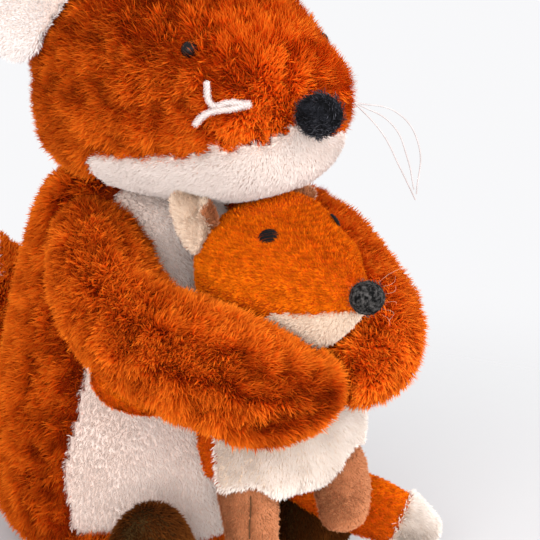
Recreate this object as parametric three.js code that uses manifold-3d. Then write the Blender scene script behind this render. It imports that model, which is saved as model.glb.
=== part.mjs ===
// A stuffed mother fox that sits and hugs her cub. Millimetres, +Z up, the mother faces -Y and
// her right side is -X. Every skin is drawn at the top of its pile, so a solid is as large as the
// furry piece that it stands for. The origin is under the middle of the whole toy, on the floor.
import * as THREE from "three";
import { mergeVertices } from "three/addons/utils/BufferGeometryUtils.js";
import Module from "manifold-3d";

const wasm = await Module();
wasm.setup();

// Clearances and walls
const seam_gap = 0.35;
const joint_gap = 0.9;
const skin_wall = 3;

// Mother: torso, a pear that stands on its flat seat
const torso_height = 158;
const torso_radius = 62;
const torso_profile_shares = [
  [0, 0.7], [0.04, 0.87], [0.13, 0.97], [0.285, 1], [0.44, 0.95],
  [0.63, 0.84], [0.79, 0.745], [0.9, 0.66], [0.96, 0.55], [1, 0.42],
];
const belly_turn_shares = [[0.09, 0.32], [0.15, 0.36], [0.3, 0.37], [0.6, 0.34], [0.76, 0.27], [0.97, 0.29]];
const pellet_bag_radius = 36;
const pellet_bag_height = 24;

// Mother: head, a ball that runs out into a blunt snout
const head_length = 136;
const head_width = 108;
const head_height = 102;
const head_lift = 42;
const head_back_reach = 28;
const head_fullness = 2.4;
const head_section_shares = [
  [0.028, 0.37, 0.4, 0], [0.095, 0.67, 0.7, 0], [0.21, 0.91, 0.92, 0.005], [0.336, 1, 1, 0.015],
  [0.462, 0.985, 0.98, 0.03], [0.58, 0.91, 0.88, 0.05], [0.693, 0.79, 0.77, 0.085],
  [0.8, 0.69, 0.68, 0.11], [0.895, 0.61, 0.59, 0.13], [0.958, 0.48, 0.46, 0.145],
];
const jaw_outline_shares = [
  [0.37, -0.8], [0.37, -0.42], [0.41, -0.35], [0.6, -0.325], [0.8, -0.285],
  [0.91, -0.236], [0.945, -0.195], [1.1, -0.165], [1.1, -0.8],
];
const head_pivot_drop = 8;
const head_nod_range = 15;
const nose_width = 17;
const nose_height = 15.6;
const nose_lift = 3;
const nose_proud_share = 0.24;
const eye_diameter = 6.6;
const eye_along_share = 0.785;
const eye_rise_angle = 33;
const stem_diameter = 2.4;
const stem_length = 9;
const washer_diameter = 9;
const washer_thickness = 1;

// Mother: ears, each a dark back and a white lining
const ear_length = 66;
const ear_width = 50;
const ear_thickness = 13;
const ear_seat_shares = [0.355, 0.84];
const ear_rise_angle = 15.5;
const ear_lean_shares = [0.73, 0.25, 0.64];
const ear_spread_shares = [-0.24, -0.43, 0.87];
const ear_outline_shares = [[0.06, 0.86, 0.9], [0.2, 1, 1], [0.45, 0.92, 1], [0.7, 0.66, 0.85], [0.89, 0.36, 0.6]];

// Mother: whiskers of yarn on her right cheek and of thread on her left
const yarn_diameter = 2.6;
const thread_diameter = 0.8;
const yarn_reach = 18.5;
const thread_reach = 24;
const whisker_along_share = 0.957;
const yarn_rise_angle = 12;
const thread_rise_angle = 5;
const yarn_route_shares = [
  [[0, 0, 0], [0.5, 0.18, -0.02], [0.68, 0.42, 0.1], [0.64, 0.62, 0.42]],
  [[0, 0, 0], [0.5, 0.12, -0.1], [0.72, 0.38, -0.18], [0.84, 0.68, -0.4]],
];
const thread_route_shares = [
  [[0, 0, 0], [0.62, -0.3, -0.18], [1.02, -0.38, -0.72], [1.12, -0.24, -1.5]],
  [[0, 0, 0], [0.5, -0.3, -0.34], [0.84, -0.32, -0.92], [1.06, -0.24, -1.42]],
  [[0, 0, 0], [0.36, -0.22, -0.46], [0.72, -0.26, -1.02], [1.14, -0.2, -1.6]],
];

// Mother: arms, thick sleeves that meet in front of the cub
const arm_radius = 24;
const arm_reach = 98;
const shoulder_turn = 58;
const shoulder_drop = 28;
const shoulder_height = torso_height - shoulder_drop;
const arm_route_shares = {
  right: [[0, 0, 0], [-0.1, 0.27, -0.11], [-0.14, 0.53, -0.235], [-0.03, 0.78, -0.31], [0.13, 0.91, -0.355], [0.255, 0.955, -0.38]],
  left: [[0, 0, 0], [-0.07, 0.27, -0.01], [-0.05, 0.51, -0.145], [0.01, 0.74, -0.265], [0.1, 0.88, -0.34], [0.22, 0.94, -0.375]],
};
const arm_taper_shares = [0.9, 0.96, 0.98, 1, 0.88, 0.72];
const arm_open_range = 30;
const lining_low_angle = 165;
const lining_high_angle = 292;
const lining_wall = 2.2;

// Mother: legs that lie on the floor, dark feet that stand up at their ends
const leg_width = 42;
const leg_height = 21;
const leg_length = 34;
const hip_spread = 38;
const hip_forward = 30;
const foot_width = 40;
const foot_height = 43.5;
const foot_depth = 32;
const foot_spread = { right: 47, left: 42 };
const foot_forward = { right: 72, left: 62 };
const foot_profile_shares = [[0, 0.7], [0.1, 0.88], [0.35, 1], [0.62, 0.93], [0.82, 0.7], [0.94, 0.42]];
const leg_splay_range = 18;
const floor_gap = 0.5;

// Mother: tail, curled up behind her, with a white tip
const tail_radius = 26;
const tail_length = 100;
const tail_seat_height = 36;
const tail_route_shares = [
  [0, 0, 0], [0, 0.22, 0.04], [0.02, 0.4, 0.26], [-0.06, 0.47, 0.52], [-0.34, 0.44, 0.68], [-0.66, 0.3, 0.7],
];
const tail_taper_shares = [0.62, 0.66, 0.9, 1, 0.9, 0.44];
const tail_tip_share = 0.72;
const tail_swing_range = 12;

// Cub: torso
const cub_drop = 42;
const cub_height_share = 0.4684;
const cub_height = torso_height * cub_height_share;
const cub_width = 66;
const cub_depth = 40;
const cub_forward = 84;
const cub_aside = 6;
const cub_floor_height = torso_height - cub_drop - cub_height;
const cub_turn = -18;
const cub_roll = -6;
const cub_profile_shares = [
  [0.03, 0.68], [0.11, 0.92], [0.3, 1], [0.5, 0.96], [0.7, 0.83], [0.88, 0.62],
];
const cub_belly_turn_share = 0.43;

// Cub: head
const cub_head_forward = 82;
const cub_head_length = 80;
const cub_head_width = 57;
const cub_head_height = 53;
const cub_head_drop = 32;
const cub_head_centre_height = torso_height - cub_head_drop;
const cub_head_back_reach = 27;
const cub_head_section_shares = [
  [0.035, 0.42, 0.44, 0], [0.12, 0.72, 0.74, 0], [0.23, 0.92, 0.94, 0], [0.36, 1, 1, 0], [0.51, 0.93, 0.94, 0.005],
  [0.66, 0.755, 0.775, 0.01], [0.79, 0.56, 0.6, 0.015], [0.9, 0.39, 0.43, 0.02], [0.965, 0.25, 0.28, 0.025],
];
const cub_chin_outline_shares = [
  [0.54, -0.8], [0.58, -0.25], [0.68, -0.18], [0.9, -0.14], [1.15, -0.1], [1.15, -0.8],
];
const cub_nose_diameter = 13.4;
const cub_eye_width = 6.6;
const cub_eye_height = 4.8;
const cub_eye_along_share = 0.565;
const cub_eye_rise_angle = 50;
const cub_eye_depth_share = 1.04;
const cub_ear_length = 25;
const cub_ear_width = 21;
const cub_ear_thickness = 7;
const cub_ear_seat_shares = [0.24, 0.86];
const cub_ear_rise_angle = 38;
const cub_ear_lean_shares = [0.6, 0.5, 0.63];
const cub_ear_spread_shares = [-0.5, -0.1, 0.8];

// Cub: legs and tail
const cub_leg_radius = 12.4;
const cub_leg_share = 0.881;
const cub_leg_length = cub_floor_height * cub_leg_share;
const cub_leg_spread = 18.5;
const cub_leg_set = 3;
const cub_leg_forward_shares = { right: [0, -0.1, -0.2], left: [0, -0.16, -0.32] };
const cub_leg_side_shares = { right: [0, 0.02, 0.02], left: [0, -0.03, -0.1] };
const cub_leg_drop_shares = { right: [0, -0.5, -0.98], left: [0, -0.28, -0.56] };
const cub_leg_taper_shares = { right: [1, 0.86, 0.62], left: [1, 0.9, 0.78] };
const cub_leg_forward_range = 14;
const cub_leg_back_range = 4;
const cub_tail_length = 66;
const cub_tail_height = 27;
const cub_tail_thickness = 15;
const cub_tail_route_shares = [
  [0, 0, 0], [0.16, -0.075, -0.1], [0.41, -0.22, -0.19], [0.6, -0.38, -0.28], [0.77, -0.52, -0.4],
];
const cub_tail_taper_shares = [0.5, 0.72, 1, 1, 0.62];
const cub_tail_tip_share = 0.74;
const cub_tail_swing_range = 5;

// Counts of sides: the hidden ones are coarser
const torso_sides = 14;
const head_sides = 15;
const limb_sides = 9;
const small_sides = 7;
const hidden_sides = 10;
const socket_sides = 10;

const sides = { right: -1, left: 1 };
const up = new THREE.Vector3(0, 0, 1);
const across = new THREE.Vector3(1, 0, 0);
const vec = (x, y, z) => new THREE.Vector3(x, y, z);
const radians = THREE.MathUtils.degToRad;

// A closed mesh as a solid for cutting and joining, and a solid as a mesh again
function solidOf(geometry) {
  const bare = geometry.clone();
  bare.deleteAttribute("normal");
  bare.deleteAttribute("uv");
  const merged = mergeVertices(bare);
  return new wasm.Manifold(new wasm.Mesh({
    numProp: 3,
    vertProperties: new Float32Array(merged.attributes.position.array),
    triVerts: new Uint32Array(merged.index.array),
  }));
}

function geometryOf(solid) {
  const mesh = solid.getMesh();
  const geometry = new THREE.BufferGeometry();
  geometry.setAttribute("position", new THREE.BufferAttribute(new Float32Array(mesh.vertProperties), 3));
  geometry.setIndex(new THREE.BufferAttribute(new Uint32Array(mesh.triVerts), 1));
  return geometry;
}

// A skin through rings of points, closed by a pole at each end and turned to face outwards
function loft(rings, start, end) {
  const count = rings[0].length;
  const points = [start, ...rings.flat(), end];
  const last = points.length - 1;
  const faces = [];
  for (let i = 0; i < count; i++) {
    const next = (i + 1) % count;
    faces.push(0, 1 + next, 1 + i);
    for (let row = 0; row + 1 < rings.length; row++) {
      const low = 1 + row * count;
      const high = low + count;
      faces.push(low + i, low + next, high + next, low + i, high + next, high + i);
    }
    faces.push(last, last - count + i, last - count + next);
  }
  if (signedVolume(points, faces) < 0) faces.reverse();
  const geometry = new THREE.BufferGeometry().setFromPoints(points);
  geometry.setIndex(faces);
  return solidOf(geometry);
}

function signedVolume(points, faces) {
  let volume = 0;
  for (let i = 0; i < faces.length; i += 3) {
    const [a, b, c] = [points[faces[i]], points[faces[i + 1]], points[faces[i + 2]]];
    volume += a.dot(b.clone().cross(c));
  }
  return volume;
}

// An oval ring of points, or the part of it between two angles
function ring(centre, side, rise, half_side, half_rise, count, low = 0, high = 360, fullness = 2) {
  const whole = high - low === 360;
  const points = [];
  const full = (value) => Math.sign(value) * Math.abs(value) ** (2 / fullness);
  for (let i = 0; i < count; i++) {
    const angle = radians(low + (high - low) * (i / (whole ? count : count - 1)));
    points.push(centre.clone()
      .addScaledVector(side, half_side * full(Math.cos(angle)))
      .addScaledVector(rise, half_rise * full(Math.sin(angle))));
  }
  return points;
}

// A value read from rows of shares, between the rows on either side
function between(rows, share) {
  const next = rows.findIndex((row) => row[0] >= share);
  if (next === -1) return rows[rows.length - 1].slice(1);
  if (next === 0) return rows[0].slice(1);
  const [a, b] = [rows[next - 1], rows[next]];
  const t = (share - a[0]) / (b[0] - a[0]);
  return a.slice(1).map((value, i) => THREE.MathUtils.lerp(value, b[i + 1], t));
}

// Even steps along a route, each with its own axes and half sizes
function framesAlong(route, half_sides, half_rises, grow = 0) {
  const spine = new THREE.CatmullRomCurve3(route, false, "centripetal");
  const sizes = new THREE.CatmullRomCurve3(half_sides.map((half, i) => vec(half, half_rises[i], 0)));
  const steps = route.length + 1;
  return Array.from({ length: steps + 1 }, (_, i) => {
    const tangent = spine.getTangent(i / steps);
    const side = tangent.clone().cross(up).normalize();
    const size = sizes.getPoint(i / steps);
    return { centre: spine.getPoint(i / steps), tangent, side, rise: side.clone().cross(tangent),
      half_side: size.x + grow, half_rise: size.y + grow };
  });
}

// A limb through such steps, with round ends
function limb(frames, count) {
  const [first, final] = [frames[0], frames[frames.length - 1]];
  const cap = (frame, way, angle) => ({ ...frame,
    centre: frame.centre.clone().addScaledVector(frame.tangent, way * frame.half_side * Math.sin(radians(angle))),
    half_side: frame.half_side * Math.cos(radians(angle)),
    half_rise: frame.half_rise * Math.cos(radians(angle)) });
  const rows = [cap(first, -1, 60), cap(first, -1, 30), ...frames, cap(final, 1, 30), cap(final, 1, 60)];
  const rings = rows.map((frame) =>
    ring(frame.centre, frame.side, frame.rise, frame.half_side, frame.half_rise, count));
  const start = first.centre.clone().addScaledVector(first.tangent, -first.half_side);
  const end = final.centre.clone().addScaledVector(final.tangent, final.half_side);
  return loft(rings, start, end);
}

// A curved slab that follows a limb between two angles, from a depth under its surface to well outside
function band(frames, low, high, depth, count) {
  const row = (frame, share) =>
    ring(frame.centre, frame.side, frame.rise, frame.half_side * share, frame.half_rise * share, count, low, high);
  const inner = frames.map((frame) => row(frame, 1 - depth / frame.half_side));
  const outer = frames.map((frame) => row(frame, 1.16));
  const points = [...inner.flat(), ...outer.flat()];
  const far = frames.length * count;
  const faces = [];
  const quad = (a, b, c, d) => faces.push(a, b, c, a, c, d);
  for (let i = 0; i + 1 < frames.length; i++) {
    for (let k = 0; k + 1 < count; k++) {
      const low_left = i * count + k;
      quad(low_left, low_left + 1, low_left + count + 1, low_left + count);
      quad(far + low_left + count, far + low_left + count + 1, far + low_left + 1, far + low_left);
    }
    const [left, right] = [i * count, i * count + count - 1];
    quad(left, left + count, far + left + count, far + left);
    quad(right + count, right, far + right, far + right + count);
  }
  for (let k = 0; k + 1 < count; k++) {
    const last = (frames.length - 1) * count + k;
    quad(k + 1, k, far + k, far + k + 1);
    quad(last, last + 1, far + last + 1, far + last);
  }
  if (signedVolume(points, faces) < 0) faces.reverse();
  const geometry = new THREE.BufferGeometry().setFromPoints(points);
  geometry.setIndex(faces);
  return solidOf(geometry);
}

// A ball or an oval at a pivot, which a limb turns on
function ball(centre, half_side, half_rise, grow = 0, count = limb_sides) {
  const sphere = new THREE.SphereGeometry(1, count, Math.round(count * 0.6));
  sphere.rotateX(radians(90));
  sphere.scale(half_side + grow, half_side + grow, half_rise + grow);
  sphere.translate(centre.x, centre.y, centre.z);
  return solidOf(sphere);
}

// The hollow that a limb's round root turns in: no facet of it comes closer to the root than the gap
function socket(centre, half_side, half_rise, gap, count = socket_sides) {
  const flat = Math.cos(Math.PI / count) * Math.cos(Math.PI * 0.5 / Math.round(count * 0.6));
  return ball(centre, (half_side + gap) / flat, (half_rise + gap) / flat, 0, count);
}

// A solid turned about a line through a pivot
function turned(solid, pivot, axis, degrees) {
  const geometry = geometryOf(solid);
  geometry.translate(-pivot.x, -pivot.y, -pivot.z);
  geometry.applyQuaternion(new THREE.Quaternion().setFromAxisAngle(axis, radians(degrees)));
  geometry.translate(pivot.x, pivot.y, pivot.z);
  return solidOf(geometry);
}

// A moving piece cut clear of what stays still, over its whole range
function clearOf(piece, still, pivot, axis, angles) {
  return angles.reduce((left, angle) => left.subtract(turned(still, pivot, axis, -angle)), piece);
}

function cutBy(piece, ...others) {
  return others.reduce((left, other) => left.subtract(other), piece);
}

// A slab across the toy whose outline lies in the upright plane of symmetry
function slab(outline, half_width) {
  const shape = new THREE.Shape(outline.map(([forward, height]) => new THREE.Vector2(forward, height)));
  const geometry = new THREE.ExtrudeGeometry(shape, { depth: half_width * 2, bevelEnabled: false });
  geometry.rotateX(radians(90));
  geometry.rotateZ(radians(90));
  geometry.translate(-half_width, 0, 0);
  return solidOf(geometry);
}

// Torso
function torsoSolid(grow = 0, count = torso_sides, rows = torso_profile_shares) {
  const rings = rows.map(([height_share, radius_share], i) => {
    const low = i === 0 ? -grow : 0;
    return ring(vec(0, 0, torso_height * height_share + low), across, vec(0, 1, 0),
      torso_radius * radius_share + grow, torso_radius * radius_share + grow, count);
  });
  const roof = torso_height * rows[rows.length - 1][0] + torso_radius * 0.06 + grow;
  return loft(rings, vec(0, 0, torso_height * rows[0][0] - grow), vec(0, 0, roof));
}

// The white front of a torso: a wedge whose half angle follows rows of shares of a full turn
function frontWedge(rows, height, radius, floor, grow = 0) {
  const rings = rows.map(([height_share, turn_share], i) => {
    const lift = i === 0 ? -grow : i === rows.length - 1 ? grow : 0;
    const half = 360 * turn_share * 0.5 + THREE.MathUtils.radToDeg(grow / radius);
    const z = floor + height * height_share + lift;
    const arc = ring(vec(0, 0, z), across, vec(0, 1, 0), radius * 2, radius * 2, 9, 270 - half, 270 + half);
    return [...arc, vec(0, -radius * 0.1 + grow, z)];
  });
  const middle = (points) => vec(0, -radius, points[0].z);
  return loft(rings, middle(rings[0]), middle(rings[rings.length - 1]));
}

// A coarse stand-in for part of the torso, large enough to hold the smooth one and a joint's clearance
function coarseTorso(low, high) {
  const flat = torso_radius * (1 - Math.cos(Math.PI / hidden_sides));
  const rows = torso_profile_shares.filter(([height]) => height >= low && height <= high);
  return torsoSolid(joint_gap * 2 + flat, hidden_sides, rows);
}

const everyOther = (rows) => rows.filter((row, i) => i % 2 === 0);
const torso_whole = torsoSolid();
const torso_cutter = torsoSolid(seam_gap);
const torso_hollow = torsoSolid(-skin_wall, hidden_sides, everyOther(torso_profile_shares));

// Head
function headSolid(grow = 0, count = head_sides, rows = head_section_shares) {
  const rings = rows.map(([along, wide, high, drop]) => {
    const centre = headCentre(along, drop);
    return ring(centre, across, up, head_width * 0.5 * wide + grow, head_height * 0.5 * high + grow, count,
      0, 360, head_fullness);
  });
  const back = headCentre(0, 0).add(vec(0, grow, 0));
  const front = headCentre(1, head_section_shares[head_section_shares.length - 1][3]).add(vec(0, -grow, 0));
  return loft(rings, back, front);
}

function headCentre(along, drop) {
  return vec(0, head_back_reach - head_length * along, torso_height + head_lift - head_height * drop);
}

function onHead(side, along, rise_angle, depth_share = 1) {
  const [wide, high, drop] = between(head_section_shares, along);
  const out = (Math.cos(radians(rise_angle)) * depth_share) ** (2 / head_fullness);
  const rise = (Math.sin(radians(rise_angle)) * depth_share) ** (2 / head_fullness);
  return headCentre(along, drop).add(vec(side * head_width * 0.5 * wide * out, 0, head_height * 0.5 * high * rise));
}

const jaw_outline = (grow) => jaw_outline_shares.map(([along, high]) => [
  head_back_reach - head_length * along + grow, torso_height + head_lift + head_height * high + grow]);
const jaw_slab = slab(jaw_outline(0), head_width);
const jaw_cutter = slab(jaw_outline(seam_gap), head_width);
const head_whole = headSolid();
const head_cutter = headSolid(seam_gap);
const head_hollow = headSolid(-skin_wall, hidden_sides, everyOther(head_section_shares));
const head_pivot = vec(0, 0, torso_height - head_pivot_drop);
const nod_angles = [0, head_nod_range];
const clearOfTorso = (piece) => clearOf(piece, coarseTorso(0.75, 1), head_pivot, across.clone().negate(), nod_angles);

// Ears: a leaf whose front half is the lining and whose back half is the dark back
function ear(side, seat, lean_shares, spread_shares, length, width, thickness, front) {
  const lean = vec(side * lean_shares[0], lean_shares[1], lean_shares[2]).normalize();
  const facing = lean.clone().cross(vec(side * spread_shares[0], spread_shares[1], spread_shares[2]));
  facing.multiplyScalar(side).normalize();
  const spread = facing.clone().cross(lean).normalize();
  const away = facing.clone().multiplyScalar(facing.y > 0 ? 1 : -1).multiplyScalar(front ? -1 : 1);
  const rings = ear_outline_shares.map(([along, wide, thick]) => {
    const cup = away.clone().multiplyScalar(seam_gap * 0.5);
    const centre = seat.clone().addScaledVector(lean, length * along).add(cup);
    return ring(centre, spread, away, width * 0.5 * wide, thickness * 0.5 * thick, small_sides, 0, 180);
  });
  const tip = seat.clone().addScaledVector(lean, length).addScaledVector(away, thickness * 0.12);
  const root = seat.clone().addScaledVector(away, thickness * 0.2);
  return loft(rings, root, tip);
}

// Arms
function shoulder(side) {
  const radius = torso_radius * between(torso_profile_shares, shoulder_height / torso_height)[0];
  const turn = radians(shoulder_turn);
  return vec(side * radius * Math.sin(turn), -radius * Math.cos(turn), shoulder_height);
}

function armRoute(name) {
  const side = sides[name];
  return arm_route_shares[name].map(([inward, forward, rise]) =>
    shoulder(side).add(vec(-side * arm_reach * inward, -arm_reach * forward, arm_reach * rise)));
}

function armFrames(name, grow = 0) {
  const halves = arm_taper_shares.map((share) => arm_radius * share);
  return framesAlong(armRoute(name), halves, halves, grow);
}

// The smooth underside of a sleeve, cut out of the furry part between two angles round it
function armBand(name, grow = 0) {
  const [low, high] = name === "right"
    ? [lining_low_angle, lining_high_angle] : [540 - lining_high_angle, 540 - lining_low_angle];
  const turn = THREE.MathUtils.radToDeg(grow / arm_radius);
  return band(armFrames(name).slice(1), low - turn, high + turn, lining_wall + grow, small_sides);
}

// Legs and feet
const hip = (side) => vec(side * hip_spread, -hip_forward, leg_height * 0.5 + floor_gap);

function legSolid(name, grow = 0) {
  const side = sides[name];
  const foot = vec(side * foot_spread[name], -foot_forward[name], leg_height * 0.5 + floor_gap);
  const way = foot.clone().sub(hip(side)).normalize();
  const end = hip(side).addScaledVector(way, leg_length * 0.7);
  const halves = [leg_width * 0.5, leg_width * 0.48, leg_width * 0.4];
  const rises = [leg_height * 0.5, leg_height * 0.5, leg_height * 0.46];
  return limb(framesAlong([hip(side), hip(side).lerp(end, 0.5), end], halves, rises, grow), limb_sides);
}

function footSolid(name, grow = 0) {
  const middle = vec(sides[name] * foot_spread[name], -foot_forward[name], floor_gap);
  const rings = foot_profile_shares.map(([rise, wide], i) => {
    const low = i === 0 ? -grow : 0;
    return ring(middle.clone().add(vec(0, 0, foot_height * rise + low)), across, vec(0, 1, 0),
      foot_width * 0.5 * wide + grow, foot_depth * 0.5 * wide + grow, limb_sides);
  });
  return loft(rings, middle.clone().add(vec(0, 0, -grow)), middle.clone().add(vec(0, 0, foot_height + grow)));
}

// Tail
const tail_pivot = vec(0, torso_radius * 0.94, tail_seat_height);

function tailSolid(grow = 0) {
  const route = tail_route_shares.map(([x, y, z]) =>
    tail_pivot.clone().add(vec(tail_length * x, tail_length * y, tail_length * z)));
  const halves = tail_taper_shares.map((share) => tail_radius * share);
  return limb(framesAlong(route, halves, halves, grow), limb_sides);
}

function halfSpace(point, normal, size) {
  const box = new THREE.BoxGeometry(size, size, size);
  box.translate(0, 0, size * 0.5);
  box.applyQuaternion(new THREE.Quaternion().setFromUnitVectors(up, normal.clone().normalize()));
  box.translate(point.x, point.y, point.z);
  return solidOf(box);
}

function tipSide(pivot, route_shares, length, share, offset) {
  const points = route_shares.map(([x, y, z]) => pivot.clone().add(vec(length * x, length * y, length * z)));
  const spine = new THREE.CatmullRomCurve3(points, false, "centripetal");
  const tangent = spine.getTangent(share);
  return halfSpace(spine.getPoint(share).addScaledVector(tangent, offset), tangent, length);
}

// Cub torso, drawn upright and then turned and rolled about its middle
const cub_middle = vec(cub_aside, -cub_forward, cub_floor_height + cub_height * 0.5);

function cubTurned(solid) {
  const rolled = turned(solid, cub_middle, vec(0, 1, 0), cub_roll);
  return turned(rolled, cub_middle, up, cub_turn);
}

function cubPlace(point) {
  return point.clone().sub(cub_middle)
    .applyAxisAngle(vec(0, 1, 0), radians(cub_roll))
    .applyAxisAngle(up, radians(cub_turn))
    .add(cub_middle);
}

function cubTorsoSolid(grow = 0, count = limb_sides + 3) {
  const rings = cub_profile_shares.map(([rise, wide], i) => {
    const low = i === 0 ? -grow : 0;
    return ring(vec(cub_aside, -cub_forward, cub_floor_height + cub_height * rise + low), across, vec(0, 1, 0),
      cub_width * 0.5 * wide + grow, cub_depth * 0.5 * (wide * 0.6 + 0.4) + grow, count);
  });
  const base = vec(cub_aside, -cub_forward, cub_floor_height - grow);
  const neck = vec(cub_aside, -cub_forward, cub_floor_height + cub_height + grow);
  return cubTurned(loft(rings, base, neck));
}

function cubBellyWedge(grow = 0) {
  const rows = [[-0.2, cub_belly_turn_share], [1.2, cub_belly_turn_share]];
  const wedge = geometryOf(frontWedge(rows, cub_height, cub_width * 0.5, cub_floor_height, grow));
  wedge.translate(cub_aside, -cub_forward, 0);
  return cubTurned(solidOf(wedge));
}

// Cub head
function cubHeadCentre(along, drop) {
  return vec(0, cub_head_back_reach - cub_head_forward - cub_head_length * along,
    cub_head_centre_height - cub_head_height * drop);
}

function cubHeadSolid(grow = 0) {
  const rings = cub_head_section_shares.map(([along, wide, high, drop]) =>
    ring(cubHeadCentre(along, drop), across, up,
      cub_head_width * 0.5 * wide + grow, cub_head_height * 0.5 * high + grow, limb_sides + 4));
  const front = cubHeadCentre(1, 0.025).add(vec(0, -grow, 0));
  return loft(rings, cubHeadCentre(0, 0).add(vec(0, grow, 0)), front);
}

function onCubHead(side, along, rise_angle, depth_share = 1) {
  const [wide, high, drop] = between(cub_head_section_shares, along);
  return cubHeadCentre(along, drop).add(vec(
    side * cub_head_width * 0.5 * wide * depth_share * Math.cos(radians(rise_angle)), 0,
    cub_head_height * 0.5 * high * depth_share * Math.sin(radians(rise_angle))));
}

const cub_chin_outline = (grow) => cub_chin_outline_shares.map(([along, high]) => [
  cub_head_back_reach - cub_head_forward - cub_head_length * along + grow,
  cub_head_centre_height + cub_head_height * high + grow]);

// Cub legs and tail
const cubHip = (side) => cubPlace(vec(
  cub_aside + side * cub_leg_spread, -cub_forward - cub_leg_set, cub_floor_height + cub_leg_radius * 0.3));

function cubLegSolid(name, grow = 0) {
  const side = sides[name];
  const route = [0, 1, 2].map((i) => cubHip(side).add(vec(
    side * cub_leg_length * cub_leg_side_shares[name][i],
    cub_leg_length * cub_leg_forward_shares[name][i],
    cub_leg_length * cub_leg_drop_shares[name][i])));
  const halves = cub_leg_taper_shares[name].map((share) => cub_leg_radius * share);
  return uprightLimb(route, halves, grow);
}

// A limb that hangs down, whose sides are set out across the toy
function uprightLimb(route, halves, grow) {
  const spine = new THREE.CatmullRomCurve3(route, false, "centripetal");
  const sizes = new THREE.CatmullRomCurve3(halves.map((half) => vec(half, 0, 0)));
  const rows = [];
  for (let i = 0; i <= 4; i++) {
    rows.push({ centre: spine.getPoint(i / 4), tangent: spine.getTangent(i / 4), half: sizes.getPoint(i / 4).x + grow });
  }
  const cap = (row, way, angle) => ({ ...row,
    centre: row.centre.clone().addScaledVector(row.tangent, way * row.half * Math.sin(radians(angle))),
    half: row.half * Math.cos(radians(angle)) });
  const [first, final] = [rows[0], rows[4]];
  const all = [cap(first, -1, 60), cap(first, -1, 30), ...rows, cap(final, 1, 35), cap(final, 1, 65)];
  const rings = all.map((row) => {
    const rise = row.tangent.clone().cross(across).normalize();
    const side = rise.clone().cross(row.tangent).normalize();
    return ring(row.centre, side, rise, row.half, row.half, limb_sides);
  });
  const start = first.centre.clone().addScaledVector(first.tangent, -first.half);
  const end = final.centre.clone().addScaledVector(final.tangent, final.half);
  return loft(rings, start, end);
}

const cub_tail_pivot = vec(
  cub_aside + cub_width * 0.08, -cub_forward + cub_depth * 0.35, cub_floor_height + cub_height * 0.06);

function cubTailSolid(grow = 0) {
  const route = cub_tail_route_shares.map(([x, y, z]) =>
    cub_tail_pivot.clone().add(vec(cub_tail_length * x, cub_tail_length * y, cub_tail_length * z)));
  const thick = cub_tail_taper_shares.map((share) => cub_tail_thickness * 0.5 * share);
  const tall = cub_tail_taper_shares.map((share) => cub_tail_height * 0.5 * share);
  return limb(framesAlong(route, thick, tall, grow), limb_sides);
}

// Beads on stems, with the washer that locks each behind the skin
function orient(geometry, place, direction) {
  geometry.applyQuaternion(new THREE.Quaternion().setFromUnitVectors(vec(0, 1, 0), direction));
  geometry.translate(place.x, place.y, place.z);
  return solidOf(geometry);
}

function eyeBead(grow = 0) {
  const bead = eye_diameter * 0.5 + grow;
  const stem = stem_diameter * 0.5 + grow;
  const outline = [new THREE.Vector2(0, -stem_length - grow), new THREE.Vector2(stem, -stem_length - grow)];
  for (let i = 0; i <= 6; i++) {
    const angle = radians(-65 + 155 * (i / 6));
    outline.push(new THREE.Vector2(i === 6 ? 0 : bead * Math.cos(angle), bead * Math.sin(angle)));
  }
  return new THREE.LatheGeometry(outline, small_sides);
}

function eyeWasher(grow = 0) {
  const inner = stem_diameter * 0.5 + seam_gap - grow;
  const outer = washer_diameter * 0.5 + grow;
  const half = washer_thickness * 0.5 + grow;
  const middle = -(stem_length - washer_thickness);
  const outline = [[inner, middle - half], [outer, middle - half], [outer, middle + half], [inner, middle + half],
    [inner, middle - half]].map(([x, y]) => new THREE.Vector2(x, y));
  return new THREE.LatheGeometry(outline, limb_sides);
}

function eyeFacing(side) {
  const near = onHead(side, eye_along_share, eye_rise_angle);
  const ahead = onHead(side, eye_along_share + 0.03, eye_rise_angle);
  const round = onHead(side, eye_along_share, eye_rise_angle + 4);
  const facing = ahead.sub(near).cross(round.sub(near)).normalize();
  return facing.multiplyScalar(Math.sign(facing.x * side));
}

// Whiskers
function strand(points, diameter) {
  const section = new THREE.Shape(ring(vec(0, 0, 0), across, vec(0, 1, 0), diameter * 0.5, diameter * 0.5, 5)
    .map((p) => new THREE.Vector2(p.x, p.y)));
  const path = new THREE.CatmullRomCurve3(points, false, "centripetal");
  return solidOf(new THREE.ExtrudeGeometry(section, { steps: 6, extrudePath: path }));
}

function whiskers(side, routes, diameter, reach, rise_angle) {
  const root = onHead(side, whisker_along_share, rise_angle);
  const knot = ball(root, diameter, diameter, 0, small_sides);
  return routes.reduce((all, route) => all.add(strand(route.map(([out, back, rise]) =>
    root.clone().add(vec(side * reach * out, reach * back, reach * rise))), diameter)), knot);
}

// Materials
const cloth = (colour, roughness = 0.95) => new THREE.MeshStandardMaterial({ color: colour, roughness, metalness: 0 });
const fur_orange = cloth("#b84c0c");
const plush_white = cloth("#ebe2dc");
const velour_orange = cloth("#dc6210");
const velour_cream = cloth("#f3e2cd");
const velour_taupe = cloth("#a9765a");
const plush_brown = cloth("#553812");
const felt_black = cloth("#1b1b1e");
const felt_grey = cloth("#3c3c40");
const bead_black = cloth("#0a0a0c", 0.25);
const washer_plastic = cloth("#d8d8d4", 0.5);
const stuffing_white = cloth("#f1f0ec");
const pellet_cloth = cloth("#cfc8b8");
const yarn_white = cloth("#f4f1ee", 0.85);

const fox = new THREE.Group();
const toy = new THREE.Group();
fox.add(toy);

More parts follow.
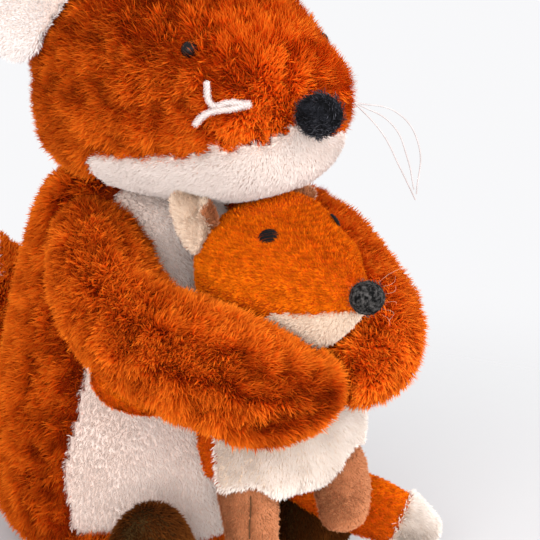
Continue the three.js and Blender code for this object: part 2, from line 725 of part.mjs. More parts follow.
function place(name, solid, material, pivot = vec(0, 0, 0)) {
  const geometry = geometryOf(solid);
  geometry.translate(-pivot.x, -pivot.y, -pivot.z);
  geometry.computeVertexNormals();
  const mesh = new THREE.Mesh(geometry, material);
  mesh.name = name;
  mesh.position.copy(pivot);
  toy.add(mesh);
}

// Assembly: the larger piece keeps its shape and cuts the smaller one
const arm_root = arm_radius * arm_taper_shares[0];
const tail_root = tail_radius * tail_taper_shares[0];
const socketsWith = (gap, count) => [
  socket(tail_pivot, tail_root, tail_root, gap, count),
  ...Object.values(sides).flatMap((side) => [
    socket(shoulder(side), arm_root, arm_root, gap, count),
    socket(hip(side), leg_width * 0.5, leg_height * 0.5, gap, count),
  ]),
];
const sockets = socketsWith(seam_gap, socket_sides);
const tight_sockets = socketsWith(0, socket_sides);
const rough_sockets = socketsWith(joint_gap * 3, small_sides);

const belly_wedge = frontWedge(belly_turn_shares, torso_height, torso_radius, 0);
const belly_cutter = frontWedge(belly_turn_shares, torso_height, torso_radius, 0, seam_gap);
const torso_shell = torso_whole.subtract(torso_hollow);
place("mother_torso", cutBy(torso_shell, belly_cutter, ...sockets), fur_orange);
place("mother_belly", cutBy(torso_shell.intersect(belly_wedge), ...sockets), plush_white);

const pellet_place = vec(0, 0, skin_wall + seam_gap * 2 + pellet_bag_height * 0.5);
const pellet_bag = (grow) => ball(pellet_place, pellet_bag_radius, pellet_bag_height * 0.5, grow, hidden_sides);
const stuffing = torsoSolid(-skin_wall * 1.5, hidden_sides, everyOther(torso_profile_shares));
place("mother_torso_filling", cutBy(stuffing, pellet_bag(seam_gap), ...rough_sockets), stuffing_white);
place("mother_pellet_bag", cutBy(pellet_bag(0), ...rough_sockets), pellet_cloth);

const head_shell = clearOfTorso(head_whole.subtract(head_hollow));
const eyes = {};
for (const [name, side] of Object.entries(sides)) {
  const seat = onHead(side, eye_along_share, eye_rise_angle);
  const facing = eyeFacing(side);
  eyes[name] = {
    seat,
    bead: orient(eyeBead(), seat, facing),
    bead_cutter: orient(eyeBead(seam_gap), seat, facing),
    washer: orient(eyeWasher(), seat, facing),
    washer_cutter: orient(eyeWasher(seam_gap), seat, facing),
  };
}
const bead_cutters = Object.values(eyes).map((eye) => eye.bead_cutter);
const washer_cutters = Object.values(eyes).map((eye) => eye.washer_cutter);
place("mother_head", cutBy(head_shell, jaw_cutter, ...bead_cutters), fur_orange, head_pivot);
place("mother_jaw", head_shell.intersect(jaw_slab), plush_white, head_pivot);
const head_core = headSolid(-skin_wall * 1.5, hidden_sides, everyOther(head_section_shares));
const head_stuffing = head_core.subtract(torsoSolid(head_height * 0.1, hidden_sides));
place("mother_head_filling", cutBy(head_stuffing, ...bead_cutters, ...washer_cutters), stuffing_white, head_pivot);

const snout_drop = head_section_shares[head_section_shares.length - 1][3];
const nose_place = headCentre(1, snout_drop).add(vec(0, -nose_width * nose_proud_share, nose_lift));
const nose = ball(nose_place, nose_width * 0.5, nose_height * 0.5);
place("mother_nose", nose.subtract(head_cutter), felt_black, head_pivot);

for (const [name, side] of Object.entries(sides)) {
  place(`mother_eye_${name}`, eyes[name].bead, bead_black, head_pivot);
  place(`mother_eye_washer_${name}`, eyes[name].washer, washer_plastic, head_pivot);
  const seat = onHead(side, ear_seat_shares[0], ear_rise_angle, ear_seat_shares[1]);
  for (const front of [false, true]) {
    const leaf = ear(side, seat, ear_lean_shares, ear_spread_shares, ear_length, ear_width, ear_thickness, front);
    const piece = front ? `mother_ear_lining_${name}` : `mother_ear_${name}`;
    place(piece, leaf.subtract(head_cutter), front ? plush_white : plush_brown, head_pivot);
  }
  const tuft = side < 0
    ? whiskers(side, yarn_route_shares, yarn_diameter, yarn_reach, yarn_rise_angle)
    : whiskers(side, thread_route_shares, thread_diameter, thread_reach, thread_rise_angle);
  place(`mother_whiskers_${name}`, tuft.subtract(head_cutter), yarn_white, head_pivot);
}

const torso_above = cutBy(coarseTorso(0.4, 1), ...tight_sockets);
const torso_below = cutBy(coarseTorso(0, 0.7), ...tight_sockets);
const arms = [];
const limbs_below = [];
for (const [name, side] of Object.entries(sides)) {
  const open = [0, 0.4, 1].map((share) => side * arm_open_range * share);
  const arm = clearOf(limb(armFrames(name), limb_sides), torso_above, shoulder(side), up, open);
  const meeting = cutBy(arm, ...arms);
  place(`mother_arm_${name}`, meeting.subtract(armBand(name, seam_gap * 2.2)), fur_orange, shoulder(side));
  place(`mother_arm_lining_${name}`, meeting.intersect(armBand(name)), velour_orange, shoulder(side));
  arms.push(limb(armFrames(name, joint_gap), limb_sides));

  const splay = [0, leg_splay_range].map((angle) => side * angle);
  const leg = clearOf(legSolid(name), torso_below, hip(side), up, splay);
  place(`mother_leg_${name}`, cutBy(leg, footSolid(name, seam_gap)), fur_orange, hip(side));
  const foot = clearOf(footSolid(name), torso_below, hip(side), up, splay);
  place(`mother_foot_${name}`, foot, plush_brown, hip(side));
  limbs_below.push(footSolid(name, seam_gap));
}

const swing = [-tail_swing_range, tail_swing_range];
const tail = clearOf(tailSolid(), torso_below, tail_pivot, up, swing);
const tail_cut = tipSide(tail_pivot, tail_route_shares, tail_length, tail_tip_share, -seam_gap);
place("mother_tail", tail.subtract(tail_cut), fur_orange, tail_pivot);
const tail_tip = tipSide(tail_pivot, tail_route_shares, tail_length, tail_tip_share, 0);
place("mother_tail_tip", tail.intersect(tail_tip), plush_white, tail_pivot);

// The cub, held between the arms, the chest and the chin
const cub_tail_root = cub_tail_thickness * 0.5 * cub_tail_taper_shares[0];
const cub_tail_rise = cub_tail_height * 0.5 * cub_tail_taper_shares[0];
const cubTailSocket = (gap) => socket(cub_tail_pivot, cub_tail_root, cub_tail_rise, gap, small_sides);
const cubSockets = (gap) => [
  ...Object.values(sides).map((side) => socket(cubHip(side), cub_leg_radius, cub_leg_radius, gap)),
  cubTailSocket(gap),
];
const around_cub = [...arms, torso_cutter, head_cutter];
const cub_head = cutBy(cubHeadSolid(), ...around_cub);
const cub_chin_slab = slab(cub_chin_outline(0), cub_head_width);
const cub_chin_cutter = slab(cub_chin_outline(seam_gap), cub_head_width);
place("cub_head", cub_head.subtract(cub_chin_cutter), velour_orange, cubHeadCentre(0, 0));
place("cub_chin", cub_head.intersect(cub_chin_slab), velour_cream, cubHeadCentre(0, 0));

const cub_torso = cutBy(cubTorsoSolid(), ...around_cub, cubHeadSolid(seam_gap), ...cubSockets(seam_gap));
place("cub_torso", cub_torso.subtract(cubBellyWedge(seam_gap)), velour_orange, cub_middle);
place("cub_belly", cub_torso.intersect(cubBellyWedge()), velour_cream, cub_middle);

const cub_nose_place = cubHeadCentre(1, 0.03).add(vec(0, -cub_nose_diameter * 0.2, 0));
const cub_nose = ball(cub_nose_place, cub_nose_diameter * 0.5, cub_nose_diameter * 0.48);
place("cub_nose", cub_nose.subtract(cubHeadSolid(seam_gap)), felt_grey, cubHeadCentre(0, 0));

const cub_legs = [];
const cub_still = cutBy(cubTorsoSolid(joint_gap * 3, small_sides), ...cubSockets(0));
for (const [name, side] of Object.entries(sides)) {
  const eye_place = onCubHead(side, cub_eye_along_share, cub_eye_rise_angle, cub_eye_depth_share);
  const eye = ball(eye_place, cub_eye_width * 0.5, cub_eye_height * 0.5, 0, small_sides);
  place(`cub_eye_${name}`, eye.subtract(cubHeadSolid(seam_gap)), bead_black, cubHeadCentre(0, 0));
  const seat = onCubHead(side, cub_ear_seat_shares[0], cub_ear_rise_angle, cub_ear_seat_shares[1]);
  for (const front of [false, true]) {
    const leaf = ear(side, seat, cub_ear_lean_shares, cub_ear_spread_shares,
      cub_ear_length, cub_ear_width, cub_ear_thickness, front);
    const piece = front ? `cub_ear_lining_${name}` : `cub_ear_${name}`;
    const trimmed = cutBy(leaf, cubHeadSolid(seam_gap), ...around_cub);
    place(piece, trimmed, front ? velour_cream : velour_taupe, cubHeadCentre(0, 0));
  }
  const swings = [-cub_leg_forward_range, cub_leg_back_range];
  const leg = clearOf(cubLegSolid(name), cub_still, cubHip(side), across, swings);
  place(`cub_leg_${name}`, leg, velour_taupe, cubHip(side));
  cub_legs.push(turned(cubLegSolid(name, joint_gap * 1.5), cubHip(side), across, cub_leg_back_range));
}

const cub_swing = [-cub_tail_swing_range, cub_tail_swing_range];
const cub_seat = cutBy(cubTorsoSolid(joint_gap * 3, small_sides), cubTailSocket(0));
const cub_tail_free = clearOf(cubTailSolid(), cub_seat, cub_tail_pivot, up, cub_swing);
const cub_tail_ahead = clearOf(cub_tail_free, cub_legs[1], cub_tail_pivot, up, [-cub_tail_swing_range]);
const cub_tail_clear = clearOf(cub_tail_ahead, limbs_below[1], cub_tail_pivot, up, [cub_tail_swing_range]);
const cub_tail = cutBy(cub_tail_clear, limbs_below[0], cub_legs[0]);
const cub_tail_cut = tipSide(cub_tail_pivot, cub_tail_route_shares, cub_tail_length, cub_tail_tip_share, -seam_gap);
place("cub_tail", cub_tail.subtract(cub_tail_cut), velour_orange, cub_tail_pivot);
const cub_tail_end = tipSide(cub_tail_pivot, cub_tail_route_shares, cub_tail_length, cub_tail_tip_share, 0);
place("cub_tail_tip", cub_tail.intersect(cub_tail_end), velour_cream, cub_tail_pivot);

// The origin goes under the middle of the whole toy
fox.updateMatrixWorld(true);
const box = new THREE.Box3().setFromObject(fox, true);
const middle = box.getCenter(new THREE.Vector3());
toy.position.set(-middle.x, -middle.y, -box.min.z);

export default fox;
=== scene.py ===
import math
from functools import partial

import bmesh
import bpy
import numpy as np
from mathutils import Matrix, Vector, noise
from mathutils.bvhtree import BVHTree


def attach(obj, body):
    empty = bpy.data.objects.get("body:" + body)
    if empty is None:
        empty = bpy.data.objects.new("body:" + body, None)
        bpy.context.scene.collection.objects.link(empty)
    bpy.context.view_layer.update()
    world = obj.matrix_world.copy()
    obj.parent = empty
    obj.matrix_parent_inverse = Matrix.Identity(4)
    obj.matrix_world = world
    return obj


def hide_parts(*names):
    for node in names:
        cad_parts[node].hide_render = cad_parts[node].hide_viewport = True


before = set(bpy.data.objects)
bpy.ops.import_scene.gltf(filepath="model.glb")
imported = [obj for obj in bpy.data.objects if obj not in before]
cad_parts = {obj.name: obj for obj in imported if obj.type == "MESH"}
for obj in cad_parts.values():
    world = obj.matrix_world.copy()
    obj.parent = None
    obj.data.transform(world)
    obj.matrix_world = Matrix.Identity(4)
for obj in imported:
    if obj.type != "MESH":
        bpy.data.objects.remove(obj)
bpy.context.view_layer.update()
scene = bpy.context.scene

# Camera
# A long lens in front of the toys and to the mother's right, as high as her ears, looking slightly
# down. It stands so close that her ears, her back and the floor run out of the frame.
camera_azimuth = math.radians(-40)
camera_elevation = math.radians(12)
camera_distance = 0.65
camera_target = Vector((0, -0.078, 0.1265))
camera_lens = 117
camera_sensor = 36


def show(name, data):
    """A new object of the scene that has some data."""
    shown = bpy.data.objects.new(name, data)
    scene.collection.objects.link(shown)
    return shown


camera_back = Vector((
    math.sin(camera_azimuth) * math.cos(camera_elevation),
    -math.cos(camera_azimuth) * math.cos(camera_elevation),
    math.sin(camera_elevation),
))
camera = show("camera", bpy.data.cameras.new("camera"))
camera.data.lens = camera_lens
camera.data.sensor_width = camera_sensor
camera.location = camera_target + camera_back * camera_distance
camera.rotation_euler = (-camera_back).to_track_quat("-Z", "Y").to_euler()
scene.camera = camera
scene.view_settings.view_transform = "Standard"

# Studio
# A white paper floor that fades into a white backdrop. One large soft lamp hangs in front, to the
# right and above, one as strong stands low on the camera's side, and the white room lights the rest.
backdrop_white = (0.94, 0.94, 0.955)
paper_white = (0.73, 0.725, 0.73)
room_light = 0.8
floor_radius = 1.2
floor_fade = (0.05, 0.5)
lamp_width = 0.9
lamp_power = 14
lamp_places = {"key": (0.3, -1.2, 0.75), "fill": (-0.9, -0.85, 0.36)}


def add(tree, kind, inputs=None, **settings):
    """The outputs of a new node, its inputs set or joined to others. Colours are opaque."""
    made = tree.nodes.new(kind)
    for setting, value in settings.items():
        setattr(made, setting, value)
    for name, value in (inputs or {}).items():
        if isinstance(value, bpy.types.NodeSocket):
            tree.links.new(value, made.inputs[name])
        else:
            socket = made.inputs[name]
            socket.default_value = (*value, 1) if socket.type == "RGBA" else value
    return made.outputs


def number(tree, operation, a, b=0.0):
    """The outcome of one operation on numbers."""
    return add(tree, "ShaderNodeMath", {0: a, 1: b}, operation=operation)[0]


def ranged(tree, value, low, high, start=0.0, end=1.0, **settings):
    """A number carried from one range to another."""
    return add(tree, "ShaderNodeMapRange", {0: value, 1: low, 2: high, 3: start, 4: end}, **settings)[0]


def blend(tree, share, dark, light, **settings):
    """A colour between two."""
    return add(tree, "ShaderNodeMix", {0: share, 6: dark, 7: light}, data_type="RGBA", **settings)[2]


def new_material(name):
    """An empty material and its tree."""
    material = bpy.data.materials.new(name)
    material.use_nodes = True
    material.node_tree.nodes.clear()
    return material, material.node_tree


world = bpy.data.worlds.new("white room")
scene.world = world
world.use_nodes = True
tree = world.node_tree
tree.nodes.clear()
rays = add(tree, "ShaderNodeLightPath")
seen = number(tree, "MAXIMUM", rays["Is Camera Ray"], rays["Is Glossy Ray"])
seen = number(tree, "MAXIMUM", seen, rays["Is Transmission Ray"])
strength = ranged(tree, seen, 0.0, 1.0, room_light, 1.0)
backdrop = add(tree, "ShaderNodeBackground", {"Color": backdrop_white, "Strength": strength})[0]
add(tree, "ShaderNodeOutputWorld", {"Surface": backdrop})

for lamp_name, lamp_place in lamp_places.items():
    lamp = show(lamp_name, bpy.data.lights.new(lamp_name, "AREA"))
    lamp.data.energy = lamp_power
    lamp.data.size = lamp_width
    lamp.location = lamp_place
    lamp.rotation_euler = (camera_target - Vector(lamp_place)).to_track_quat("-Z", "Y").to_euler()

floor_form = bmesh.new()
bmesh.ops.create_circle(floor_form, cap_ends=True, segments=64, radius=floor_radius)
floor = show("floor", bpy.data.meshes.new("floor"))
floor_form.to_mesh(floor.data)
floor_form.free()
floor_material, tree = new_material("white paper floor")
place = add(tree, "ShaderNodeTexCoord")["Object"]
out = add(tree, "ShaderNodeVectorMath", {0: place}, operation="LENGTH")["Value"]
fade = ranged(tree, out, *floor_fade, interpolation_type="SMOOTHSTEP")
paper = add(tree, "ShaderNodeBsdfDiffuse", {"Color": paper_white})[0]
clear = add(tree, "ShaderNodeBsdfTransparent")[0]
surface = add(tree, "ShaderNodeMixShader", {0: fade, 1: paper, 2: clear})[0]
add(tree, "ShaderNodeOutputMaterial", {"Surface": surface})
floor.data.materials.append(floor_material)

# Mother's torso
# A pear of long-pile fur fabric with a white plush front, sewn wrong side out, turned and stuffed.
# The skin is the woven back of the fabric, and the pile stands on it up to the CAD solid's surface.
pile_height = 0.005
mother_grid = 0.003
limb_grid = 0.0025
fur_edge = 0.003
sides = {"right": -1, "left": 1}
seam_height, seam_reach = 0.55, 0.02
underside_top = 0.008
underside_slope = -0.4
cover_reach = 0.012
cover_start = 0.001
covered_share = 0.35
ruffle_size = 0.0022


def joined(nodes):
    """Copies of CAD nodes' meshes in one bmesh, with their doubles merged."""
    form = bmesh.new()
    for name in nodes:
        form.from_mesh(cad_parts[name].data)
    bmesh.ops.remove_doubles(form, verts=form.verts, dist=1e-6)
    return form


def hull(form):
    """The convex hull of a form, for stuffed shapes with no hollow."""
    shell = bmesh.new()
    for vertex in form.verts:
        shell.verts.new(vertex.co)
    form.free()
    made = bmesh.ops.convex_hull(shell, input=shell.verts)
    left_over = {part for part in made["geom_interior"] + made["geom_unused"]
                 if isinstance(part, bmesh.types.BMVert)}
    bmesh.ops.delete(shell, geom=list(left_over), context="VERTS")
    bmesh.ops.recalc_face_normals(shell, faces=shell.faces)
    return shell


def to_object(name, form):
    """A bmesh as an object of the scene."""
    piece = show(name, bpy.data.meshes.new(name))
    form.to_mesh(piece.data)
    form.free()
    return piece


def evaluated(piece):
    """What an object shows, as a new mesh."""
    shape = piece.evaluated_get(bpy.context.evaluated_depsgraph_get())
    return bpy.data.meshes.new_from_object(shape)


def apply(piece):
    """Makes the modifiers of a piece part of its mesh."""
    mesh = evaluated(piece)
    piece.modifiers.clear()
    piece.data = mesh


def plump(name, form, grid, inset, rounds):
    """A smooth closed skin round a form, drawn in by the height of its pile."""
    piece = to_object(name, form)
    even = piece.modifiers.new("even grid", "REMESH")
    even.mode = "VOXEL"
    even.voxel_size = grid
    even.use_smooth_shade = True
    soft = piece.modifiers.new("soft edges", "SMOOTH")
    soft.iterations = rounds
    drawn = piece.modifiers.new("height of pile", "DISPLACE")
    drawn.mid_level = 0
    drawn.strength = -inset
    apply(piece)
    return piece


def finder(mesh):
    """What finds the nearest point of a mesh."""
    return BVHTree.FromPolygons(
        [vertex.co for vertex in mesh.vertices], [tuple(face.vertices) for face in mesh.polygons])


def sewn(name, main, other, grid, inset, rounds, shape=None, out=None):
    """One skin for two CAD nodes, and how much nearer each pile tip is to the other than to the main."""
    form = joined([main, other])
    skin = plump(name, shape(form) if shape else form, grid, inset, rounds)
    one, two = (finder(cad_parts[node].data) for node in (main, other))
    tips = [vertex.co + vertex.normal * (out or inset) for vertex in skin.data.vertices]
    return skin, np.array([one.find_nearest(tip)[3] - two.find_nearest(tip)[3] for tip in tips])


def off_point(skin, point):
    """How far each vertex lies from a point."""
    return np.array([(vertex.co - Vector(point)).length for vertex in skin.data.vertices])


def note(skin, **fields):
    """Keeps numbers or directions for the vertices of a skin, or one for all."""
    for name, values in fields.items():
        values = np.asarray(values, dtype=np.float32)
        if values.ndim == 0:
            values = np.full(len(skin.data.vertices), values)
        kind, part = ("FLOAT_VECTOR", "vector") if values.ndim == 2 else ("FLOAT", "value")
        kept = skin.data.attributes.get(name) or skin.data.attributes.new(name, kind, "POINT")
        kept.data.foreach_set(part, values.ravel())


def comb(skin, way):
    """Lays the pile of a skin along the direction that way gives at a point."""
    note(skin, lay=[list(way(vertex.co).normalized()) for vertex in skin.data.vertices])


def beside(lead, start, edge):
    """The share of pile beside a panel of another fabric."""
    return np.clip(start - lead / edge, 0, 1)


def rising(lead):
    """The share of the fur's height: low at a seam and rising away from it."""
    return np.clip(seam_height - lead / seam_reach, seam_height, 1)


def covered(skin, *own):
    """The share of pile at each vertex: less where other pieces press, none underneath."""
    form = bmesh.new()
    for node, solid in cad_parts.items():
        if node not in own and "filling" not in node and "pellet" not in node and "washer" not in node:
            form.from_mesh(solid.data)
    around = BVHTree.FromBMesh(form)
    form.free()
    shares = []
    for vertex in skin.data.vertices:
        hit = around.ray_cast(vertex.co + vertex.normal * cover_start, vertex.normal, cover_reach)[0]
        underside = vertex.co.z < underside_top and vertex.normal.z < underside_slope
        shares.append(0.0 if underside else 1.0 if hit is None else covered_share)
    return np.array(shares)


def push(skin, *moves):
    """Moves a skin near each centre by a shift, less and less out to the radius."""
    for centre, radius, shift in moves:
        for vertex in skin.data.vertices:
            near = max(0, 1 - ((vertex.co - Vector(centre)).length / radius) ** 2)
            vertex.co += Vector(shift) * near ** 2
        skin.data.update()


def off_path(point, path):
    """How far a point lies from a path."""
    gaps = []
    for start, end in zip(path, path[1:]):
        run = Vector(end) - Vector(start)
        share = min(1, max(0, (point - Vector(start)).dot(run) / run.length_squared))
        gaps.append((Vector(start) + run * share - point).length)
    return min(gaps)


def crease(skin, path, width, depth):
    """Draws a skin in along a path, as a fold does."""
    inward = [vertex.normal * -depth * math.exp(-(off_path(vertex.co, path) / width) ** 2)
              for vertex in skin.data.vertices]
    for vertex, shift in zip(skin.data.vertices, inward):
        vertex.co += shift
    skin.data.update()


def panel(name, skin, lead, lift, wall):
    """A piece of another fabric: a skin where the lead is positive, lifted and walled."""
    form = bmesh.new()
    form.from_mesh(skin.data)
    off = [face for face in form.faces if sum(lead[v.index] for v in face.verts) < 0]
    bmesh.ops.delete(form, geom=off, context="FACES")
    for vertex in form.verts:
        vertex.co += vertex.normal * lift
    piece = to_object(name, form)
    outer = len(piece.data.vertices)
    solid = piece.modifiers.new("wall", "SOLIDIFY")
    solid.thickness = wall
    solid.offset = -1
    apply(piece)
    piece.data.shade_smooth()
    note(piece, grow=np.arange(len(piece.data.vertices)) < outer, height=1)
    return piece


def dress(skin, finish, body, *nodes):
    """Gives a skin its fabric, the body that it moves with and the CAD nodes that it stands for."""
    skin.data.materials.append(finish)
    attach(skin, body)
    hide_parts(*nodes)


def speckle(tree, scale, detail, **more):
    """Fine noise that keeps its place on a piece."""
    place = add(tree, "ShaderNodeTexCoord")["Object"]
    return add(tree, "ShaderNodeTexNoise", {"Vector": place, "Scale": scale, "Detail": detail, **more})[0]


def finish_of(tree, colour, roughness, specular, height=None, bump=None):
    """Ends a material: colour, roughness, shine, and relief of a strength and a depth."""
    inputs = {"Base Color": colour, "Roughness": roughness, "Specular IOR Level": specular}
    if bump:
        inputs["Normal"] = add(tree, "ShaderNodeBump", {
            "Strength": bump[0], "Distance": bump[1], "Height": height})[0]
    made = add(tree, "ShaderNodeBsdfPrincipled", inputs)[0]
    add(tree, "ShaderNodeOutputMaterial", {"Surface": made})


def backing(name, dark, light, scale=900):
    """The woven back of a fabric, seen only between the fibres: two tones in fine uneven rows."""
    material, tree = new_material(name)
    fine = speckle(tree, scale, 3)
    both = number(tree, "MULTIPLY", fine, speckle(tree, scale / 20, 2))
    colour = blend(tree, ranged(tree, both, 0.12, 0.42), dark, light)
    finish_of(tree, colour, 0.95, 0.1, fine, bump=(0.4, 0.0006))
    return material


def fibre_material(name, shaded_root, middle, lit_tip, shade=0.9, reach=0.5):
    """Pile fibres: dark at the root, painted shade deep in the pile, and bright at the tip, painted light
    on the lit tips; each fibre with a tone of its own.
    """
    material, tree = new_material(name)
    uv = add(tree, "ShaderNodeUVMap", uv_map="OFBake")[0]
    parts = add(tree, "ShaderNodeSeparateXYZ", {0: uv})
    # From the root colour to the middle one: painted shade deep in the pile; from the middle to the tip
    # colour: painted light on the lit tips.
    rise = ranged(tree, parts["Y"], 0.0, reach, interpolation_type="SMOOTHSTEP")
    low = blend(tree, rise, shaded_root, middle)
    lit = number(tree, "MULTIPLY", ranged(tree, parts["Y"], reach, 1.0), parts["X"])
    full = blend(tree, lit, low, lit_tip)
    tone = ranged(tree, parts["X"], 0.0, 1.0, shade, 1.0)
    finish_of(tree, blend(tree, 1.0, full, tone, blend_type="MULTIPLY"), 0.9, 0.05)
    return material


def fibre_blade():
    """One fibre, a unit long and wide: two small faces that taper to a tip and bend over."""
    mesh = bpy.data.meshes.new("fibre")
    corners = [(-0.5, 0, 0), (0.5, 0, 0), (-0.42, 0.1, 0.55), (0.1, 0.38, 0.95)]
    mesh.from_pydata(corners, [], [(0, 1, 2), (1, 3, 2)])
    for name, values in (("along", (0, 0, 0.55, 1)), ("side", (-1, 1, -1, 0))):
        mesh.attributes.new(name, "FLOAT", "POINT").data.foreach_set("value", values)
    return bpy.data.objects.new("fibre", mesh)


def vector(tree, operation, a, b=(0, 0, 0)):
    """The outcome of one operation on directions."""
    return add(tree, "ShaderNodeVectorMath", {0: a, 1: b}, operation=operation)[0]


def scaled(tree, a, factor):
    """A direction made longer or shorter."""
    return add(tree, "ShaderNodeVectorMath", {0: a, "Scale": factor}, operation="SCALE")[0]


def named(tree, name, kind="FLOAT"):
    """What is kept under a name."""
    return add(tree, "GeometryNodeInputNamedAttribute", {"Name": name}, data_type=kind)["Attribute"]


def kept(tree, geometry, name, value, kind="FLOAT", domain="INSTANCE"):
    """Geometry that keeps a value under a name."""
    return add(tree, "GeometryNodeStoreNamedAttribute", {
        "Geometry": geometry, "Name": name, "Value": value}, data_type=kind, domain=domain)[0]


def new_group(name, wanted, result):
    """A tree of geometry nodes with its named inputs and its one output."""
    tree = bpy.data.node_groups.new(name, "GeometryNodeTree")
    for socket, kind in wanted.items():
        tree.interface.new_socket(socket, in_out="INPUT", socket_type=f"NodeSocket{kind}")
    tree.interface.new_socket(result, in_out="OUTPUT", socket_type="NodeSocketGeometry")
    return tree, add(tree, "NodeGroupInput")


def pile_tree():
    """Geometry nodes that set fibres on a skin, lay them over, ruffle them and draw them into tufts."""
    measures = ("Density", "Length", "Width", "Lean", "Stray", "Ruffle", "Swirl", "Swirl Size",
                "Tuft Size", "Tuft", "Patch Size", "Row Size", "Row")
    tree, given = new_group("pile", {
        "Skin": "Geometry", "Fibre": "Object", **dict.fromkeys(measures, "Float"),
        "Seed": "Int", "Finish": "Material"}, "Pile")
    calc, move, times, value_of = (partial(kind, tree) for kind in (number, vector, scaled, named))

    def noise_of(place, size, detail):
        return add(tree, "ShaderNodeTexNoise", {
            "Vector": place, "Scale": calc("DIVIDE", 1.0, size), "Detail": detail})

    def drift(place, size):
        return move("SUBTRACT", noise_of(place, size, 1.0)[1], (0.5, 0.5, 0.5))

    def chance(low, high):
        return add(tree, "FunctionNodeRandomValue", {
            2: low, 3: high, "Seed": given["Seed"]}, data_type="FLOAT")[1]

    dense = calc("MULTIPLY", given["Density"], value_of("grow"))
    scatter = add(tree, "GeometryNodeDistributePointsOnFaces", {
        "Mesh": given["Skin"], "Density": dense, "Seed": given["Seed"]})
    place = add(tree, "GeometryNodeInputPosition")[0]
    stray = add(tree, "FunctionNodeRandomValue", {
        0: (-1, -1, -1), 1: (1, 1, 1), "Seed": given["Seed"]}, data_type="FLOAT_VECTOR")[0]
    lay = value_of("lay", "FLOAT_VECTOR")
    upright = times(scatter["Normal"], calc("SUBTRACT", 1.0, given["Lean"]))
    way = move("ADD", upright, times(lay, given["Lean"]))
    way = move("ADD", way, times(drift(place, given["Swirl Size"]), given["Swirl"]))
    way = move("ADD", way, times(stray, given["Stray"]))
    across = move("CROSS_PRODUCT", move("ADD", lay, times(stray, 0.5)), scatter["Normal"])
    turn = add(tree, "FunctionNodeAxesToRotation", {
        0: way, 1: across}, primary_axis="Z", secondary_axis="X")[0]
    tall = calc("MULTIPLY", calc("MULTIPLY", given["Length"], chance(0.65, 1.15)), value_of("height"))
    size = add(tree, "ShaderNodeCombineXYZ", {0: given["Width"], 1: tall, 2: tall})[0]
    fibre = add(tree, "GeometryNodeObjectInfo", {"Object": given["Fibre"]})["Geometry"]
    standing = add(tree, "GeometryNodeInstanceOnPoints", {
        "Points": scatter["Points"], "Instance": fibre, "Rotation": turn, "Scale": size})[0]
    rooted = kept(tree, standing, "root", place, "FLOAT_VECTOR")
    tone = ranged(tree, noise_of(place, given["Patch Size"], 3.0)[0], 0.28, 0.72, 0.1, 0.9)
    level = add(tree, "ShaderNodeSeparateXYZ", {0: place})["Z"]
    row = calc("SINE", calc("DIVIDE", calc("MULTIPLY", level, math.tau), given["Row Size"]))
    tone = calc("ADD", tone, calc("MULTIPLY", row, given["Row"]))
    # The pale attribute adds painted light to the tone, and painted shade where it is below zero.
    tone = calc("ADD", calc("ADD", tone, value_of("pale")), chance(-0.22, 0.22))
    tone = calc("MINIMUM", calc("MAXIMUM", tone, 0.02), 0.98)
    real = add(tree, "GeometryNodeRealizeInstances", {0: kept(tree, rooted, "tone", tone)})[0]
    root = value_of("root", "FLOAT_VECTOR")
    centre = add(tree, "ShaderNodeTexVoronoi", {
        "Vector": root, "Scale": calc("DIVIDE", 1.0, given["Tuft Size"])})["Position"]
    drawn = times(move("SUBTRACT", centre, root), given["Tuft"])
    blown = times(drift(root, ruffle_size), given["Ruffle"])
    shift = times(move("ADD", drawn, blown), calc("POWER", value_of("along"), 1.6))
    shaped = add(tree, "GeometryNodeSetPosition", {"Geometry": real, "Offset": shift})[0]
    u = calc("ADD", calc("MULTIPLY", value_of("side"), 0.004), value_of("tone"))
    v = calc("ADD", calc("MULTIPLY", value_of("along"), 0.96), 0.02)
    uv = add(tree, "ShaderNodeCombineXYZ", {0: u, 1: v})[0]
    mapped = kept(tree, shaped, "OFBake", uv, "FLOAT2", "CORNER")
    add(tree, "NodeGroupOutput", {0: add(tree, "GeometryNodeSetMaterial", {
        "Geometry": mapped, "Material": given["Finish"]})[0]})
    return tree


def give(piece, group, values):
    """Geometry nodes for a piece, with values for their named inputs."""
    growth = piece.modifiers.new(group.name, "NODES")
    growth.node_group = group
    for socket in group.interface.items_tree:
        if socket.in_out == "INPUT" and socket.name in values:
            growth[socket.identifier] = values[socket.name]


blade = fibre_blade()
pile_nodes = pile_tree()


def grow_pile(name, skin, body, finish, fibres, parts=1, **sizes):
    """Pile on a skin, as one or more pieces of so many fibres each."""
    mesh = skin.data
    areas = np.zeros(len(mesh.polygons))
    mesh.polygons.foreach_get("area", areas)
    grow = np.zeros(len(mesh.vertices), np.float32)
    mesh.attributes["grow"].data.foreach_get("value", grow)
    shares = np.array([np.mean([grow[i] for i in polygon.vertices]) for polygon in mesh.polygons])
    density = fibres / float((areas * shares).sum())
    for part in range(1, parts + 1):
        piece = show(f"{name}_{part}", mesh.copy())
        give(piece, pile_nodes, {
            "Fibre": blade, "Density": density, "Finish": finish, "Seed": part, **sizes})
        apply(piece)
        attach(piece, body)


def wear(skin, fabric, body, node, fibres, parts=1):
    """Dresses a skin in a fabric and grows the fabric's pile on it."""
    pile, back, fibre, sizes = fabric
    dress(skin, back, body, node)
    grow_pile(skin.name.replace("skin", pile), skin, body, fibre, fibres, parts, **sizes)


# The fur's backing is darker than its fibres: painted shade deep in the pile, between the fibres.
fur_back = backing("fur backing", (0.12, 0.01, 0.0004), (0.3, 0.028, 0.001))
fur_fibre = fibre_material("orange fur fibre", (0.42, 0.02, 0.0004), (0.78, 0.082, 0.001),
                           (0.94, 0.27, 0.018), 0.45)
# The pink of the white plush's backing and fibre roots is painted shade, warmed as by light bounced off
# the orange fur.
plush_back = backing("white plush backing", (0.78, 0.62, 0.54), (0.88, 0.75, 0.68))
plush_fibre = fibre_material("white plush fibre", (0.76, 0.59, 0.51), (0.85, 0.74, 0.68),
                             (0.9, 0.82, 0.77))

